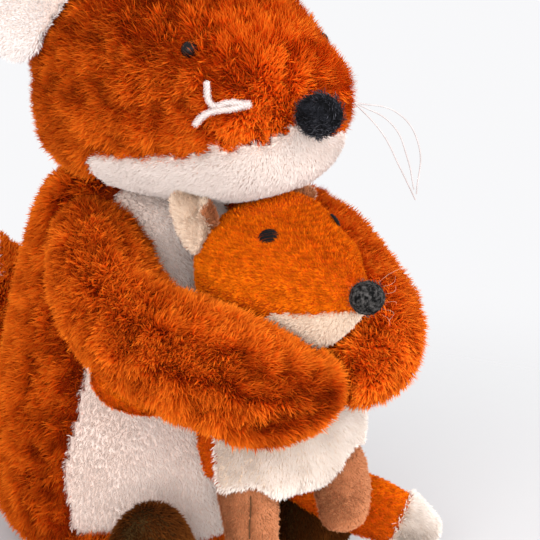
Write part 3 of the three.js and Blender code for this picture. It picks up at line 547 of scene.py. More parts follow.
no_rows = {"Row Size": 1.0, "Row": 0.0}
fur = {"Length": 0.0064, "Width": 0.000275, "Lean": 0.1, "Stray": 0.45, "Ruffle": 0.0025, "Swirl": 2.4,
       "Swirl Size": 0.007, "Tuft Size": 0.0026, "Tuft": 0.35, "Patch Size": 0.006, **no_rows}
plush = {"Length": 0.0022, "Width": 0.00026, "Lean": 0.3, "Stray": 0.22, "Ruffle": 0.0003, "Swirl": 0.4,
         "Swirl Size": 0.005, "Tuft Size": 0.0012, "Tuft": 0.05, "Patch Size": 0.012, **no_rows}
fur_cloth = ("fur", fur_back, fur_fibre, fur)
plush_cloth = ("pile", plush_back, plush_fibre, plush)

down = Vector((0, 0, -1))
torso_skin, torso_white = sewn("mother_torso_skin", "mother_torso", "mother_belly",
                               mother_grid, pile_height, rounds=10, shape=hull)
push(torso_skin,
     ((-0.03, -0.045, 0.135), 0.035, (-0.006, -0.009, 0.003)),
     ((-0.022, -0.055, 0.118), 0.03, (-0.004, -0.007, 0)),
     ((-0.034, 0.002, 0.148), 0.026, (-0.004, 0.001, 0.003)))
comb(torso_skin, lambda point: down)
torso_cover = covered(torso_skin, "mother_torso", "mother_belly")
note(torso_skin, grow=beside(torso_white, 0.8, fur_edge) * torso_cover, height=rising(torso_white))
wear(torso_skin, fur_cloth, "seat", "mother_torso", fibres=63000, parts=2)

belly_skin = panel("mother_belly_skin", torso_skin, torso_white, lift=0.0026, wall=0.0016)
wear(belly_skin, plush_cloth, "seat", "mother_belly", fibres=50000)

# Mother's filling
# Loose polyester wool, and low in the torso a calico bag of plastic pellets that keeps her upright.
# Nobody sees them.
stuffing = backing("polyester wool", (0.62, 0.61, 0.58), (0.86, 0.86, 0.84), 240)
calico = backing("calico", (0.5, 0.45, 0.36), (0.68, 0.63, 0.53), 1500)
for node, body, finish in (
        ("mother_torso_filling", "seat", stuffing), ("mother_head_filling", "head", stuffing),
        ("mother_pellet_bag", "seat", calico)):
    filling = plump(f"{node}_soft", joined([node]), grid=0.005, inset=0.002, rounds=4)
    dress(filling, finish, body, node)

# Mother's head
# The same fur fabric, cut in gores that meet at the nose, over a chin of white plush. The pile is
# brushed back from the nose, and it stands out in tufts that point every way.
nose_place = Vector((0, -0.105, 0.1882))
cheek_pads = ((-0.0205, -0.0965, 0.1805), (0.0205, -0.0965, 0.1805))
cheek_radius = 0.016
cheek_lead = 0.0058
jaw_side, jaw_back, jaw_middle = 0.766, 0.643, -0.078
jaw_end, jaw_cut, jaw_fade = 0.0656, 0.012, 0.004
snout_height, snout_reach = 0.55, 0.1
# Paler fur towards the nose is painted light on the snout.
snout_painted_light, most_painted_light, painted_light_reach = 0.75, 0.7, 0.11
head_skin, head_white = sewn("mother_head_skin", "mother_head", "mother_jaw",
                             mother_grid, pile_height, rounds=8, shape=hull)
behind = np.array([jaw_side * abs(vertex.co.x) + jaw_back * (vertex.co.y - jaw_middle)
                   for vertex in head_skin.data.vertices])
head_white -= jaw_cut * np.clip((behind - jaw_end) / jaw_fade, 0, 1)
for cheek in cheek_pads:
    head_white -= cheek_lead * np.clip(1 - (off_point(head_skin, cheek) / cheek_radius) ** 2, 0, 1)
push(head_skin,
     ((-0.011, -0.06, 0.152), 0.045, (0, -0.0005, -0.0035)),
     ((-0.034, 0.006, 0.164), 0.032, (-0.0035, 0.0025, -0.001)),
     ((0.029, -0.094, 0.196), 0.025, (0.002, -0.0016, 0)),
     ((0.027, -0.08, 0.217), 0.022, (-0.0008, 0.0006, -0.0022)))
comb(head_skin, lambda point: point - nose_place)
head_cover = covered(head_skin, "mother_head", "mother_jaw", "mother_nose")
snout = off_point(head_skin, nose_place)
# pale is painted light here, strongest at the nose.
note(head_skin, grow=beside(head_white, 1.0, fur_edge) * head_cover,
     height=rising(head_white) * np.clip(snout_height + snout / snout_reach, snout_height, 1),
     pale=np.clip(snout_painted_light - snout / painted_light_reach, 0, most_painted_light))
wear(head_skin, fur_cloth, "head", "mother_head", fibres=75000, parts=2)

jaw_skin = panel("mother_jaw_skin", head_skin, head_white, lift=0.0026, wall=0.0016)
# The jaw's plush is drawn darker: painted shade, which tones down the strong light of the lamps on the
# jaw.
note(jaw_skin, pale=-0.45)
wear(jaw_skin, plush_cloth, "head", "mother_jaw", fibres=46000)

# Mother's ears
# Two leaves of fabric sewn together: white plush in front and dark grey-brown plush behind.
# The seam runs round the edge, and the ears stand out sideways from the head.
ear_back = backing("ear backing", (0.05, 0.03, 0.02), (0.16, 0.1, 0.06))
# The lining's fibre is a whiter copy of the white plush fibre: painted light where the lamps fall on the
# ears.
lit_lining_fibre = fibre_material("ear plush fibre", (0.84, 0.74, 0.69), (0.91, 0.85, 0.82),
                              (0.95, 0.92, 0.9))
ear_fibre = fibre_material("dark plush fibre", (0.05, 0.03, 0.02), (0.17, 0.11, 0.07),
                           (0.35, 0.26, 0.19))
ear_cloth = ("pile", ear_back, ear_fibre, plush)
lining_cloth = ("pile", plush_back, lit_lining_fibre, plush)
for side, way in sides.items():
    ear, lining = f"mother_ear_{side}", f"mother_ear_lining_{side}"
    ear_skin, ear_white = sewn(f"mother_ear_skin_{side}", ear, lining, grid=0.002, inset=0.0018, rounds=5)
    ear_root = Vector((way * 0.045, -0.013, 0.213))
    comb(ear_skin, lambda point: point - ear_root)
    note(ear_skin, grow=beside(ear_white, 0.5, 0.002), height=1)
    wear(ear_skin, ear_cloth, "head", ear, fibres=10000)
    ear_front = panel(f"mother_ear_lining_skin_{side}", ear_skin, ear_white, lift=0.0008, wall=0.0008)
    wear(ear_front, lining_cloth, "head", lining, fibres=12000)

# Mother's nose
# A ball of wool, needle-felted hard and black, and glued to the end of the snout.
# Its surface is matted, and single fibres stand off it.


def felt(name, dark, light, lump_scale, tones, bump):
    """Matted wool: tight fibres over larger lumps, in two tones and in relief; the tones follow the
    relief, so the pits are darker, as painted shade.
    """
    material, tree = new_material(name)
    mat = speckle(tree, 1100.0, 6.0, Roughness=0.7)
    tone = number(tree, "MULTIPLY", mat, speckle(tree, lump_scale, 3.0))
    finish_of(tree, blend(tree, ranged(tree, tone, *tones), dark, light), 0.95, 0.1, tone, bump)
    return material


def felt_ball(name, place, width, height, finish, fuzz, strays, reach, body, node):
    """A needle-felted ball, not quite round, with stray fibres."""
    form = bmesh.new()
    bmesh.ops.create_icosphere(form, subdivisions=5, radius=1)
    for vertex in form.verts:
        way = vertex.co.copy()
        dent = noise.fractal(way * 2.3, 0.8, 2.0, 4) * 0.03
        dent += noise.noise(way * 9) * 0.02 + noise.noise(way * 22) * 0.014
        round_part = Vector((way.x * width, way.y * width, way.z * height))
        vertex.co = place + round_part * (0.5 + dent * 0.5)
    ball = to_object(name, form)
    ball.data.shade_smooth()
    dress(ball, finish, body, node)
    note(ball, grow=1, height=1)
    comb(ball, lambda point: (point - place).cross(Vector((0.3, 0.2, 1))))
    grow_pile(f"{name}_fuzz", ball, body, fuzz, strays, **{
        "Length": reach, "Width": 0.00008, "Lean": 0.6, "Stray": 0.6, "Ruffle": 0.002, "Swirl": 1.6,
        "Swirl Size": 0.003, "Tuft Size": 0.002, "Tuft": 0.1, "Patch Size": 0.004, **no_rows})


felt_black = felt("black felt", (0.0015, 0.0015, 0.002), (0.014, 0.0145, 0.019), 260.0,
                  tones=(0.2, 0.36), bump=(0.7, 0.0004))
felt_fuzz = fibre_material("black felt fibre", (0.002, 0.002, 0.003), (0.025, 0.025, 0.03),
                           (0.2, 0.2, 0.23))
felt_ball("mother_nose_felt", nose_place - Vector((0, 0, 0.0016)), 0.0163, 0.0149, felt_black, felt_fuzz,
          strays=1500, reach=0.0028, body="head", node="mother_nose")

# Mother's eyes
# Black moulded beads on ribbed stems, pushed through the fabric and locked behind it by washers.
# The pile hides all but the dome.
eye_radius = 0.0031
stem_radius = 0.0012
stem_length = 0.009
eye_depth = 0.0026
dome_start, dome_turn, dome_steps = -68, 158, 24


def grained(name, dark, light, scale, detail, roughness, specular=0.5, bump=None):
    """A hard or spun surface of two tones, with one roughness or a range that follows them."""
    material, tree = new_material(name)
    grain = speckle(tree, scale, detail)
    if isinstance(roughness, tuple):
        roughness = ranged(tree, grain, 0.0, 1.0, *roughness)
    finish_of(tree, blend(tree, grain, dark, light), roughness, specular, grain, bump)
    return material


bead_black = grained("black bead", (0.004, 0.004, 0.005), (0.014, 0.013, 0.013), 700.0, 2.0,
                     roughness=(0.1, 0.25), specular=0.12)
washer_plastic = grained("washer plastic", (0.6, 0.6, 0.57), (0.74, 0.74, 0.71), 500.0, 2.0,
                         roughness=0.45)
for side, way in sides.items():
    seat = Vector((way * 0.0328, -0.0717, 0.2104))
    facing = Vector((way * 0.74, -0.419, 0.526))
    form = bmesh.new()
    outline = [Vector((0, 0, -stem_length)), Vector((stem_radius, 0, -stem_length))]
    for step in range(dome_steps + 1):
        turn = math.radians(dome_start + dome_turn * step / dome_steps)
        outline.append(Vector((eye_radius * math.cos(turn), 0, eye_radius * math.sin(turn))))
    verts = [form.verts.new(point) for point in outline]
    edges = [form.edges.new(pair) for pair in zip(verts, verts[1:])]
    bmesh.ops.spin(form, geom=verts + edges, axis=(0, 0, 1), cent=(0, 0, 0), steps=40, angle=math.tau)
    bmesh.ops.remove_doubles(form, verts=form.verts, dist=1e-6)
    bmesh.ops.recalc_face_normals(form, faces=form.faces)
    bmesh.ops.rotate(form, verts=form.verts, matrix=facing.to_track_quat("Z", "Y").to_matrix())
    bmesh.ops.translate(form, verts=form.verts, vec=seat - facing * eye_depth)
    eye = to_object(f"mother_eye_bead_{side}", form)
    eye.data.shade_smooth()
    dress(eye, bead_black, "head", f"mother_eye_{side}")
    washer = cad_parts[f"mother_eye_washer_{side}"]
    washer.data.materials.clear()
    washer.data.materials.append(washer_plastic)

# Mother's whiskers
# White yarn knotted through the right cheek, and three thin pale threads through the left one.
# The yarn is plied and shows its twist, and both keep the bends of the photograph.
yarn_white = grained("white yarn", (0.58, 0.48, 0.46), (0.8, 0.73, 0.71), 2600.0, 3.0,
                     roughness=0.9, specular=0.2, bump=(0.5, 0.0002))
yarn_fuzz = fibre_material("white thread", (0.62, 0.5, 0.45), (0.78, 0.68, 0.64),
                           (0.84, 0.77, 0.74))
thread_grey = backing("fine thread", (0.52, 0.47, 0.46), (0.68, 0.63, 0.62), 3000)


def ply_tree():
    """Geometry nodes that lay plies round a route in a helix and give each a round section."""
    tree, given = new_group("plied strand", {
        "Route": "Geometry", "Steps": "Int", "Plies": "Int", "Radius": "Float", "Pitch": "Float",
        "Finish": "Material"}, "Strand")
    calc, move, times = (partial(kind, tree) for kind in (number, vector, scaled))
    route = add(tree, "GeometryNodeResampleCurve", {
        "Curve": given["Route"], "Count": given["Steps"]}, mode="COUNT")[0]
    plies = add(tree, "GeometryNodeDuplicateElements", {
        "Geometry": route, "Amount": given["Plies"]}, domain="SPLINE")
    share = calc("DIVIDE", plies["Duplicate Index"], given["Plies"])
    way = add(tree, "GeometryNodeSplineParameter")["Length"]
    turns = calc("ADD", calc("DIVIDE", way, given["Pitch"]), share)
    angle = calc("MULTIPLY", turns, math.tau)
    normal = add(tree, "GeometryNodeInputNormal")[0]
    tangent = add(tree, "GeometryNodeInputTangent")[0]
    side = move("CROSS_PRODUCT", tangent, normal)
    ring = move("ADD", times(normal, calc("COSINE", angle)), times(side, calc("SINE", angle)))
    half = calc("MULTIPLY", given["Radius"], 0.5)
    laid = add(tree, "GeometryNodeSetPosition", {"Geometry": plies[0], "Offset": times(ring, half)})[0]
    section = add(tree, "GeometryNodeCurvePrimitiveCircle", {"Resolution": 8, "Radius": half})[0]
    strand = add(tree, "GeometryNodeCurveToMesh", {
        "Curve": laid, "Profile Curve": section, "Fill Caps": True})[0]
    real = add(tree, "GeometryNodeRealizeInstances", {0: strand})[0]
    add(tree, "NodeGroupOutput", {0: add(tree, "GeometryNodeSetMaterial", {
        "Geometry": real, "Material": given["Finish"]})[0]})
    return tree


ply_nodes = ply_tree()


def curves(name, routes, ends=1.0):
    """Smooth curves along routes, slimmer at the ends where asked."""
    data = bpy.data.curves.new(name, "CURVE")
    data.dimensions = "3D"
    for route in routes:
        spline = data.splines.new("BEZIER")
        spline.bezier_points.add(len(route) - 1)
        for place, (point, stop) in enumerate(zip(spline.bezier_points, route)):
            point.co = stop
            point.handle_left_type = point.handle_right_type = "AUTO"
            point.radius = ends if place in (0, len(route) - 1) else 1.0
    return show(name, data)


def strands(name, laid):
    """The mesh that curves show, in their place."""
    mesh = evaluated(laid)
    bpy.data.objects.remove(laid)
    mesh.shade_smooth()
    return show(name, mesh)


def plied(name, routes, plies, radius, pitch, finish, steps):
    """Plied strands along smooth routes, as one mesh."""
    laid = curves(name, routes)
    give(laid, ply_nodes, {
        "Plies": plies, "Radius": radius, "Pitch": pitch, "Finish": finish, "Steps": steps})
    return strands(name, laid)


def tube(name, routes, radius, finish, ends=1.0):
    """Plain round strands along smooth routes, as one mesh."""
    laid = curves(name, routes, ends)
    laid.data.bevel_depth = radius
    laid.data.use_fill_caps = True
    piece = strands(name, laid)
    piece.data.materials.append(finish)
    return piece


yarn_root = Vector((-0.0244, -0.0961, 0.1913))
yarn_routes = (
    (yarn_root, (-0.0318, -0.0934, 0.1922), (-0.0352, -0.0905, 0.1911), (-0.0361, -0.0886, 0.1925),
     (-0.036, -0.0872, 0.1992)),
    (yarn_root, (-0.0316, -0.0942, 0.1901), (-0.0352, -0.0911, 0.1896), (-0.0383, -0.0884, 0.188),
     (-0.0404, -0.0858, 0.1846)),
)
yarn = plied("mother_whiskers_yarn", yarn_routes, 3, 0.0009, 0.004, yarn_white, steps=90)
note(yarn, grow=1, height=1)
comb(yarn, lambda point: point - yarn_root)
grow_pile("mother_whiskers_fuzz", yarn, "head", yarn_fuzz, fibres=4000, **{
    **plush, "Length": 0.0009, "Width": 0.0001, "Tuft": 0.0})
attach(yarn, "head")
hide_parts("mother_whiskers_right")
thread_root = Vector((0.0259, -0.0951, 0.1883))
thread_routes = (
    (thread_root, (0.0408, -0.1023, 0.184), (0.0504, -0.1042, 0.171), (0.0528, -0.1009, 0.1523)),
    (thread_root, (0.0379, -0.1023, 0.1802), (0.0461, -0.1028, 0.1662), (0.0514, -0.1009, 0.1542)),
    (thread_root, (0.0346, -0.1004, 0.1773), (0.0432, -0.1013, 0.1638), (0.0533, -0.0999, 0.1499)),
)
thread = tube("mother_whiskers_thread", thread_routes, 0.0003, thread_grey)
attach(thread, "head")
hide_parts("mother_whiskers_left")

# Mother's arms
# Thick fur sleeves, sewn shut at the paw and to the torso at the shoulder, that close round the cub.
# A strip of orange velour lines the underside of each, and one corner of the right strip rolls out.
velour_back = backing("orange velour", (0.45, 0.045, 0.001), (0.75, 0.12, 0.004), 1400)
velour_fibre = fibre_material("orange velour fibre", (0.62, 0.05, 0.0005), (0.93, 0.15, 0.001),
                              (0.98, 0.28, 0.005), 0.4, 0.4)
nap = {"Length": 0.0016, "Width": 0.0003, "Lean": 0.35, "Stray": 0.3, "Ruffle": 0.0004, "Swirl": 0.8,
       "Swirl Size": 0.005, "Tuft Size": 0.0013, "Tuft": 0.6, "Patch Size": 0.0025, "Row Size": 0.0014,
       "Row": 0.16}
velour = ("nap", velour_back, velour_fibre, nap)
arm_fibres = {"right": 83000, "left": 68000}
arm_routes = {
    "right": [(-0.0378, -0.0166, 0.13), (-0.0453, -0.0355, 0.1224), (-0.0505, -0.054, 0.1138),
              (-0.0509, -0.0722, 0.1057), (-0.0429, -0.0901, 0.1005), (-0.0216, -0.1074, 0.0944),
              (-0.0128, -0.1102, 0.0928)],
    "left": [(0.0378, -0.0166, 0.13), (0.0434, -0.0357, 0.1302), (0.0447, -0.0534, 0.1241),
             (0.0422, -0.0699, 0.114), (0.038, -0.0862, 0.1055), (0.025, -0.1049, 0.0955),
             (0.0163, -0.1087, 0.0932)],
}
arm_fold = [(-0.0539, -0.1076, 0.0908), (-0.0475, -0.1133, 0.0876), (-0.0389, -0.1179, 0.0856),
            (-0.0294, -0.1227, 0.0856), (-0.0187, -0.1247, 0.0876), (-0.0122, -0.1267, 0.0915)]
roll_route = [(-0.0672, -0.0632, 0.099), (-0.068, -0.066, 0.0935), (-0.0668, -0.0705, 0.0892),
              (-0.0625, -0.0745, 0.0866), (-0.057, -0.08, 0.0856), (-0.052, -0.085, 0.0865)]


def along(route):
    """The way that a limb runs at a point, from its root to its end."""
    steps = [(Vector(a), Vector(b)) for a, b in zip(route, route[1:])]

    def way(point):
        start, end = min(steps, key=lambda step: ((step[0] + step[1]) / 2 - point).length)
        return end - start
    return way


for side in sides:
    arm, lining, body = f"mother_arm_{side}", f"mother_arm_lining_{side}", f"arm_{side}"
    arm_skin, arm_smooth = sewn(f"{arm}_skin", arm, lining, limb_grid, pile_height, rounds=8)
    if side == "right":
        push(arm_skin,
             ((-0.055, -0.005, 0.128), 0.03, (0.003, -0.0026, -0.001)),
             ((-0.007, -0.114, 0.1087), 0.028, (0, 0, -0.0035)),
             ((-0.0395, -0.06, 0.1386), 0.028, (-0.002, 0, -0.004)),
             ((-0.03, -0.113, 0.078), 0.032, (0, -0.001, -0.006)))
        crease(arm_skin, arm_fold, width=0.0035, depth=0.0035)
    comb(arm_skin, along(arm_routes[side]))
    paw = off_point(arm_skin, arm_routes[side][-1])
    # pale: painted light, on the right arm towards the paw and over the whole left arm, where the lamps
    # fall.
    note(arm_skin, grow=beside(arm_smooth, 0.5, fur_edge) * covered(arm_skin, arm, lining), height=1,
         pale=np.clip(0.1 - paw / 0.4, 0, 0.1) if side == "right" else 0.25)
    wear(arm_skin, fur_cloth, body, arm, arm_fibres[side])
    strip = panel(f"{lining}_skin", arm_skin, arm_smooth, lift=0.0035, wall=0.0015)
    comb(strip, along(arm_routes[side]))
    wear(strip, velour, body, lining, fibres=9000)

roll = tube("mother_arm_lining_roll", [roll_route], 0.0032, velour_back, 0.5)
note(roll, grow=1, height=1)
comb(roll, along(roll_route))
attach(roll, "arm_right")
grow_pile("mother_arm_lining_roll_nap", roll, "arm_right", velour_fibre, fibres=5000, **nap)

# Mother's legs and feet
# Short stuffed legs that lie flat, and round feet of dark brown plush sewn to their ends.
foot_back = backing("brown plush backing", (0.02, 0.01, 0.003), (0.09, 0.045, 0.012))
foot_fibre = fibre_material("brown plush fibre", (0.03, 0.008, 0.001), (0.09, 0.022, 0.003),
                            (0.22, 0.07, 0.012), 0.6)
foot_cloth = ("pile", foot_back, foot_fibre, {**plush, "Length": 0.003})
for side in sides:
    for node, inset, lay, height, cloth in (
            (f"mother_leg_{side}", 0.0035, (0, -1, -0.2), 0.7, fur_cloth),
            (f"mother_foot_{side}", 0.0018, (0, -0.3, -1), 1, foot_cloth)):
        skin = plump(f"{node}_skin", joined([node]), limb_grid, inset, rounds=6)
        comb(skin, lambda point: Vector(lay))
        note(skin, grow=covered(skin, node), height=height)
        wear(skin, cloth, f"leg_{side}", node, fibres=12000)

# Mother's tail
# A fat tail of the same fur, sewn low on the back and curled up behind her, with a white tip.
tail_route = [(0, 0.0653, 0.036), (0, 0.0873, 0.04), (0.002, 0.1053, 0.062), (-0.006, 0.1123, 0.088),
              (-0.034, 0.1093, 0.104), (-0.066, 0.0953, 0.106)]
tail_skin, tail_white = sewn("mother_tail_skin", "mother_tail", "mother_tail_tip",
                             mother_grid, pile_height, rounds=8)
tail_cover = covered(tail_skin, "mother_tail", "mother_tail_tip")
comb(tail_skin, along(tail_route))
# pale: painted light over the whole tail, which stands in shade behind her.
note(tail_skin, grow=beside(tail_white, 0.5, fur_edge) * tail_cover, height=1, pale=0.35)
wear(tail_skin, fur_cloth, "tail", "mother_tail", fibres=48000)
tip_skin = panel("mother_tail_tip_skin", tail_skin, tail_white, lift=0.0012, wall=0.0012)
comb(tip_skin, along(tail_route))
tip_cloth = ("pile", plush_back, plush_fibre, {**plush, "Length": 0.006})
wear(tip_skin, tip_cloth, "tail", "mother_tail_tip", fibres=13000)

# Cub's torso
# A small bag of orange velour with a front of cream plush, stuffed, that stands between the arms.
nap_height = 0.0009
cub_grid = 0.0015
front_lead = 0.003
side_lead, front_side, front_fade = 0.0036, -0.013, 0.006
cream_back = backing("cream plush backing", (0.84, 0.66, 0.5), (0.92, 0.8, 0.66))
cream_fibre = fibre_material("cream plush fibre", (0.7, 0.48, 0.33), (0.8, 0.61, 0.46),
                             (0.87, 0.74, 0.61))
# The belly fibre, also used for the cub's tail tip, is whiter than the cream of the chin: partly another
# fabric, partly painted light against the shade of the mother's arms.
lit_cream_fibre = fibre_material("cub belly fibre", (0.84, 0.67, 0.54), (0.93, 0.83, 0.75),
                             (0.97, 0.92, 0.87))
front_cloth = ("pile", cream_back, lit_cream_fibre, {**plush, "Length": 0.003})
cub_skin, cub_cream = sewn("cub_torso_skin", "cub_torso", "cub_belly", cub_grid, nap_height, rounds=6)
cub_side = np.array([vertex.co.x for vertex in cub_skin.data.vertices])
cub_cream += front_lead
cub_cream -= side_lead * np.clip((front_side - cub_side) / front_fade, 0, 1)
push(cub_skin,
     ((-0.016, -0.085, 0.045), 0.02, (-0.0012, -0.0016, -0.0045)),
     ((-0.024, -0.068, 0.055), 0.03, (-0.0022, 0.0018, 0)),
     ((-0.0225, -0.0765, 0.047), 0.016, (-0.0015, -0.001, -0.006)))
comb(cub_skin, lambda point: Vector((point.x - 0.005, (point.y + 0.07) * 0.5, -0.02)))
cub_cover = covered(cub_skin, "cub_torso", "cub_belly")
note(cub_skin, grow=beside(cub_cream, 0.5, 0.002) * cub_cover, height=1)
wear(cub_skin, velour, "seat", "cub_torso", fibres=14000)
cub_front = panel("cub_belly_skin", cub_skin, cub_cream, lift=0.0005, wall=0.0006)
wear(cub_front, front_cloth, "seat", "cub_belly", fibres=26000)

# Cub's head
# Orange velour with fine rows of nap, drawn to a point at the nose, over a small chin of cream velour.
cub_nose_place = Vector((0, -0.1306, 0.1244))
face_skin, chin_cream = sewn("cub_head_skin", "cub_head", "cub_chin", cub_grid, nap_height, rounds=8)
push(face_skin,
     ((0.016, -0.098, 0.138), 0.022, (0.0028, -0.0024, 0)),
     ((0.012, -0.078, 0.151), 0.024, (0.0026, -0.0012, 0.005)),
     ((0.001, -0.108, 0.106), 0.022, (0, 0, -0.005)))
comb(face_skin, lambda point: point - cub_nose_place)
face_cover = covered(face_skin, "cub_head", "cub_chin")
note(face_skin, grow=beside(chin_cream, 0.5, 0.0015) * face_cover, height=1)
wear(face_skin, velour, "seat", "cub_head", fibres=50000)
chin_skin = panel("cub_chin_skin", face_skin, chin_cream, lift=0.0004, wall=0.0006)
wear(chin_skin, ("pile", cream_back, cream_fibre, nap), "seat", "cub_chin", fibres=9000)

# Cub's ears
# Taupe velour behind and cream velour in front, sewn at the edge and folded into the head's seam.
taupe_back = backing("taupe velour", (0.28, 0.11, 0.045), (0.44, 0.19, 0.085), 1400)
taupe_fibre = fibre_material("taupe velour fibre", (0.34, 0.12, 0.05), (0.54, 0.2, 0.085),
                             (0.72, 0.34, 0.18))
taupe = ("nap", taupe_back, taupe_fibre, nap)
cream = ("nap", cream_back, cream_fibre, nap)
roll_radius = 0.0026
roll_turn = math.radians(140)
outer_narrowing = 0.3


def curl(skin, base, top, facing):
    """Rolls the inner side of an ear over its front, about a line from base to top."""
    axis = (top - base).normalized()
    front = (facing - axis * facing.dot(axis)).normalized()
    side = axis.cross(front) * (-1 if base.x > 0 else 1)
    for vertex in skin.data.vertices:
        place = vertex.co - base
        out = place.dot(side)
        if out < 0:
            vertex.co -= side * out * outer_narrowing
        if out > 0:
            angle = min(out / roll_radius, roll_turn)
            ahead = front * math.cos(angle) - side * math.sin(angle)
            run = side * math.cos(angle) + front * math.sin(angle)
            rolled = side * roll_radius * math.sin(angle) + front * roll_radius * (1 - math.cos(angle))
            rest = run * (out - roll_radius * angle)
            vertex.co = base + axis * place.dot(axis) + rolled + rest + ahead * place.dot(front)
    skin.data.update()


for side, way in sides.items():
    ear, lining = f"cub_ear_{side}", f"cub_ear_lining_{side}"
    ear_skin, ear_cream = sewn(f"{ear}_skin", ear, lining, 0.0012, 0.0006, rounds=4, out=nap_height)
    fold_base = Vector((way * 0.0238, -0.0665, 0.1346))
    fold_top = Vector((way * 0.0218, -0.0625, 0.1537))
    curl(ear_skin, fold_base, fold_top, Vector((way * 0.409, -0.88, 0.245)))
    if side == "left":
        push(ear_skin, (fold_top, 0.04, (0.0032, -0.0018, 0.0018)))
    cub_ear_root = Vector((way * 0.0179, -0.0672, 0.1393))
    comb(ear_skin, lambda point: point - cub_ear_root)
    note(ear_skin, grow=beside(ear_cream, 0.5, 0.001), height=1)
    wear(ear_skin, taupe, "seat", ear, fibres=4000)
    ear_front = panel(f"{lining}_skin", ear_skin, ear_cream, lift=0.0003, wall=0.0005)
    wear(ear_front, cream, "seat", lining, fibres=5000)

# Cub's nose
# A smaller felted ball, dark grey, at the tip of the head, with a few loose hairs.
felt_grey = felt("grey felt", (0.003, 0.003, 0.003), (0.092, 0.085, 0.081), 650.0,
                 tones=(0.2, 0.38), bump=(1.0, 0.0008))
grey_fuzz = fibre_material("grey felt fibre", (0.01, 0.01, 0.01), (0.07, 0.065, 0.06),
                           (0.26, 0.22, 0.2))
felt_ball("cub_nose_felt", cub_nose_place + Vector((0, 0, 0.0007)), 0.0124, 0.0119, felt_grey, grey_fuzz,
          strays=450, reach=0.0018, body="seat", node="cub_nose")
hair_pale = backing("pale loose fibre", (0.46, 0.3, 0.2), (0.66, 0.48, 0.36))
hair_routes = (
    ((0.0036, -0.1322, 0.1302), (0.0058, -0.1345, 0.133), (0.0092, -0.1362, 0.1348),
     (0.0118, -0.1388, 0.1362)),
    ((0.005, -0.133, 0.1288), (0.0085, -0.135, 0.1302), (0.0082, -0.1362, 0.1328)),
    ((0.0052, -0.1336, 0.1262), (0.008, -0.1362, 0.1275), (0.0094, -0.135, 0.129)),
    ((0.005, -0.1342, 0.1235), (0.0078, -0.1368, 0.1236), (0.0092, -0.1356, 0.1222)),
    ((0.0042, -0.1344, 0.1212), (0.0066, -0.137, 0.12), (0.0072, -0.1356, 0.118),
     (0.006, -0.135, 0.1166)),
    ((0.003, -0.135, 0.1196), (0.005, -0.1366, 0.1176), (0.0044, -0.1376, 0.1158)),
)
hairs = tube("cub_nose_hairs", hair_routes, 0.00004, hair_pale, 0.5)
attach(hairs, "seat")

# Cub's eyes
# Small slanting ovals of black satin stitch, close rows of thread over a pad.
cub_eye_width = 0.0066
cub_eye_height = 0.0056
cub_eye_rise = 0.001
cub_eye_slant = math.radians(14)
cub_eye_rows = 13
stitch_points = (-1, -0.75, -0.35, 0, 0.35, 0.75, 1)
eye_thread = grained("black embroidery thread", (0.002, 0.002, 0.002), (0.012, 0.011, 0.011),
                     4000.0, 2.0, roughness=0.5, specular=0.1)
cub_face = finder(face_skin.data)
for side, way, start in (("right", -1, Vector((-0.0151, -0.0945, 0.1438))),
                         ("left", 1, Vector((0.0152, -0.0925, 0.1434)))):
    facing = Vector((way * 0.72, -0.42, 0.55)).normalized()
    seat, slope = cub_face.ray_cast(start + facing * 0.02, -facing)[:2]
    facing = (facing + slope).normalized()
    seat += facing * nap_height
    turn = facing.to_track_quat("Z", "Y").to_matrix() @ Matrix.Rotation(-way * cub_eye_slant, 3, "Z")
    stitches = []
    for row in range(cub_eye_rows):
        share = (row + 0.5) / cub_eye_rows * 2 - 1
        reach = math.sqrt(1 - share * share) * (1 + 0.12 * math.sin(row * 2.4))
        stitches.append([seat + turn @ Vector((
            cub_eye_width * 0.5 * reach * stop, cub_eye_height * 0.5 * share,
            cub_eye_rise * reach * math.sqrt(1 - stop * stop))) for stop in stitch_points])
    eye = plied(f"cub_eye_stitches_{side}", stitches, 2, 0.00026, 0.0012, eye_thread, steps=18)
    dress(eye, eye_thread, "seat", f"cub_eye_{side}")

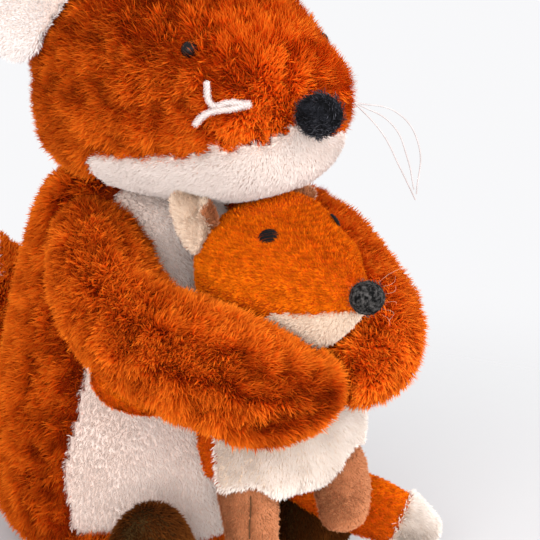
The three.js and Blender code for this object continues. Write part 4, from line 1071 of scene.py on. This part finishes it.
# Cub's legs
# Tubes of taupe velour that hang from the torso, the right one with a seam down its front.
left_leg_shift = Vector((-0.004, 0.0013, 0.009))
left_leg_top, left_leg_length = 0.04, 0.0225
seam_width = 0.002
seam_thread_out = Vector((0.0004, 0.0008, 0))
seam_dark = backing("seam", (0.05, 0.02, 0.008), (0.16, 0.07, 0.03), 3000)
leg_seam = [(-0.0156, -0.0857, 0.0437), (-0.0159, -0.086, 0.038), (-0.0164, -0.086, 0.0326),
            (-0.0166, -0.0862, 0.0273)]
for side in sides:
    leg = f"cub_leg_{side}"
    leg_skin = plump(f"{leg}_skin", joined([leg]), cub_grid, nap_height, rounds=6)
    if side == "left":
        for vertex in leg_skin.data.vertices:
            vertex.co += left_leg_shift * min(1, max(0, (left_leg_top - vertex.co.z) / left_leg_length))
        leg_skin.data.update()
    comb(leg_skin, lambda point: down)
    note(leg_skin, grow=covered(leg_skin, leg), height=1)
    if side == "right":
        crease(leg_skin, leg_seam, width=0.0014, depth=0.0015)
        off_seam = np.array([off_path(vertex.co, leg_seam) for vertex in leg_skin.data.vertices])
        # Beside the seam the fibres are drawn darker: painted shade in its groove.
        note(leg_skin, grow=np.clip(off_seam / 0.0012 - 0.4, 0, 1) * covered(leg_skin, leg),
             pale=-0.8 * np.exp(-(off_seam / seam_width) ** 2))
        seam_route = [Vector(point) + seam_thread_out for point in leg_seam]
        stitched = tube("cub_leg_right_seam", [seam_route], 0.0003, seam_dark)
        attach(stitched, leg)
    wear(leg_skin, taupe, leg, leg, fibres=16000)

# Cub's tail
# Orange velour with a cream tip, flat and wide, that comes out behind the left leg.
cub_tail_shift = Vector((0.0006, -0.0012, -0.0055))
cub_tail_reach = 0.045
cub_tip_lead = 0.006
cub_tail_route = [(0.0113, -0.063, 0.0464), (0.0218, -0.0679, 0.0398), (0.0383, -0.0775, 0.0339),
                  (0.0509, -0.088, 0.028), (0.0621, -0.0973, 0.02)]
cub_tail_root = Vector(cub_tail_route[0])
cub_tail_skin, cub_tip = sewn("cub_tail_skin", "cub_tail", "cub_tail_tip", cub_grid, nap_height, rounds=6)
cub_tip -= cub_tip_lead
for vertex in cub_tail_skin.data.vertices:
    vertex.co += cub_tail_shift * min(1, (vertex.co - cub_tail_root).length / cub_tail_reach)
cub_tail_skin.data.update()
cub_tail_cover = covered(cub_tail_skin, "cub_tail", "cub_tail_tip")
comb(cub_tail_skin, along(cub_tail_route))
note(cub_tail_skin, grow=beside(cub_tip, 0.5, 0.001) * cub_tail_cover, height=1)
wear(cub_tail_skin, velour, "cub_tail", "cub_tail", fibres=12000)
cub_tip_skin = panel("cub_tail_tip_skin", cub_tail_skin, cub_tip, lift=0.0005, wall=0.0006)
comb(cub_tip_skin, along(cub_tail_route))
wear(cub_tip_skin, front_cloth, "cub_tail", "cub_tail_tip", fibres=10000)
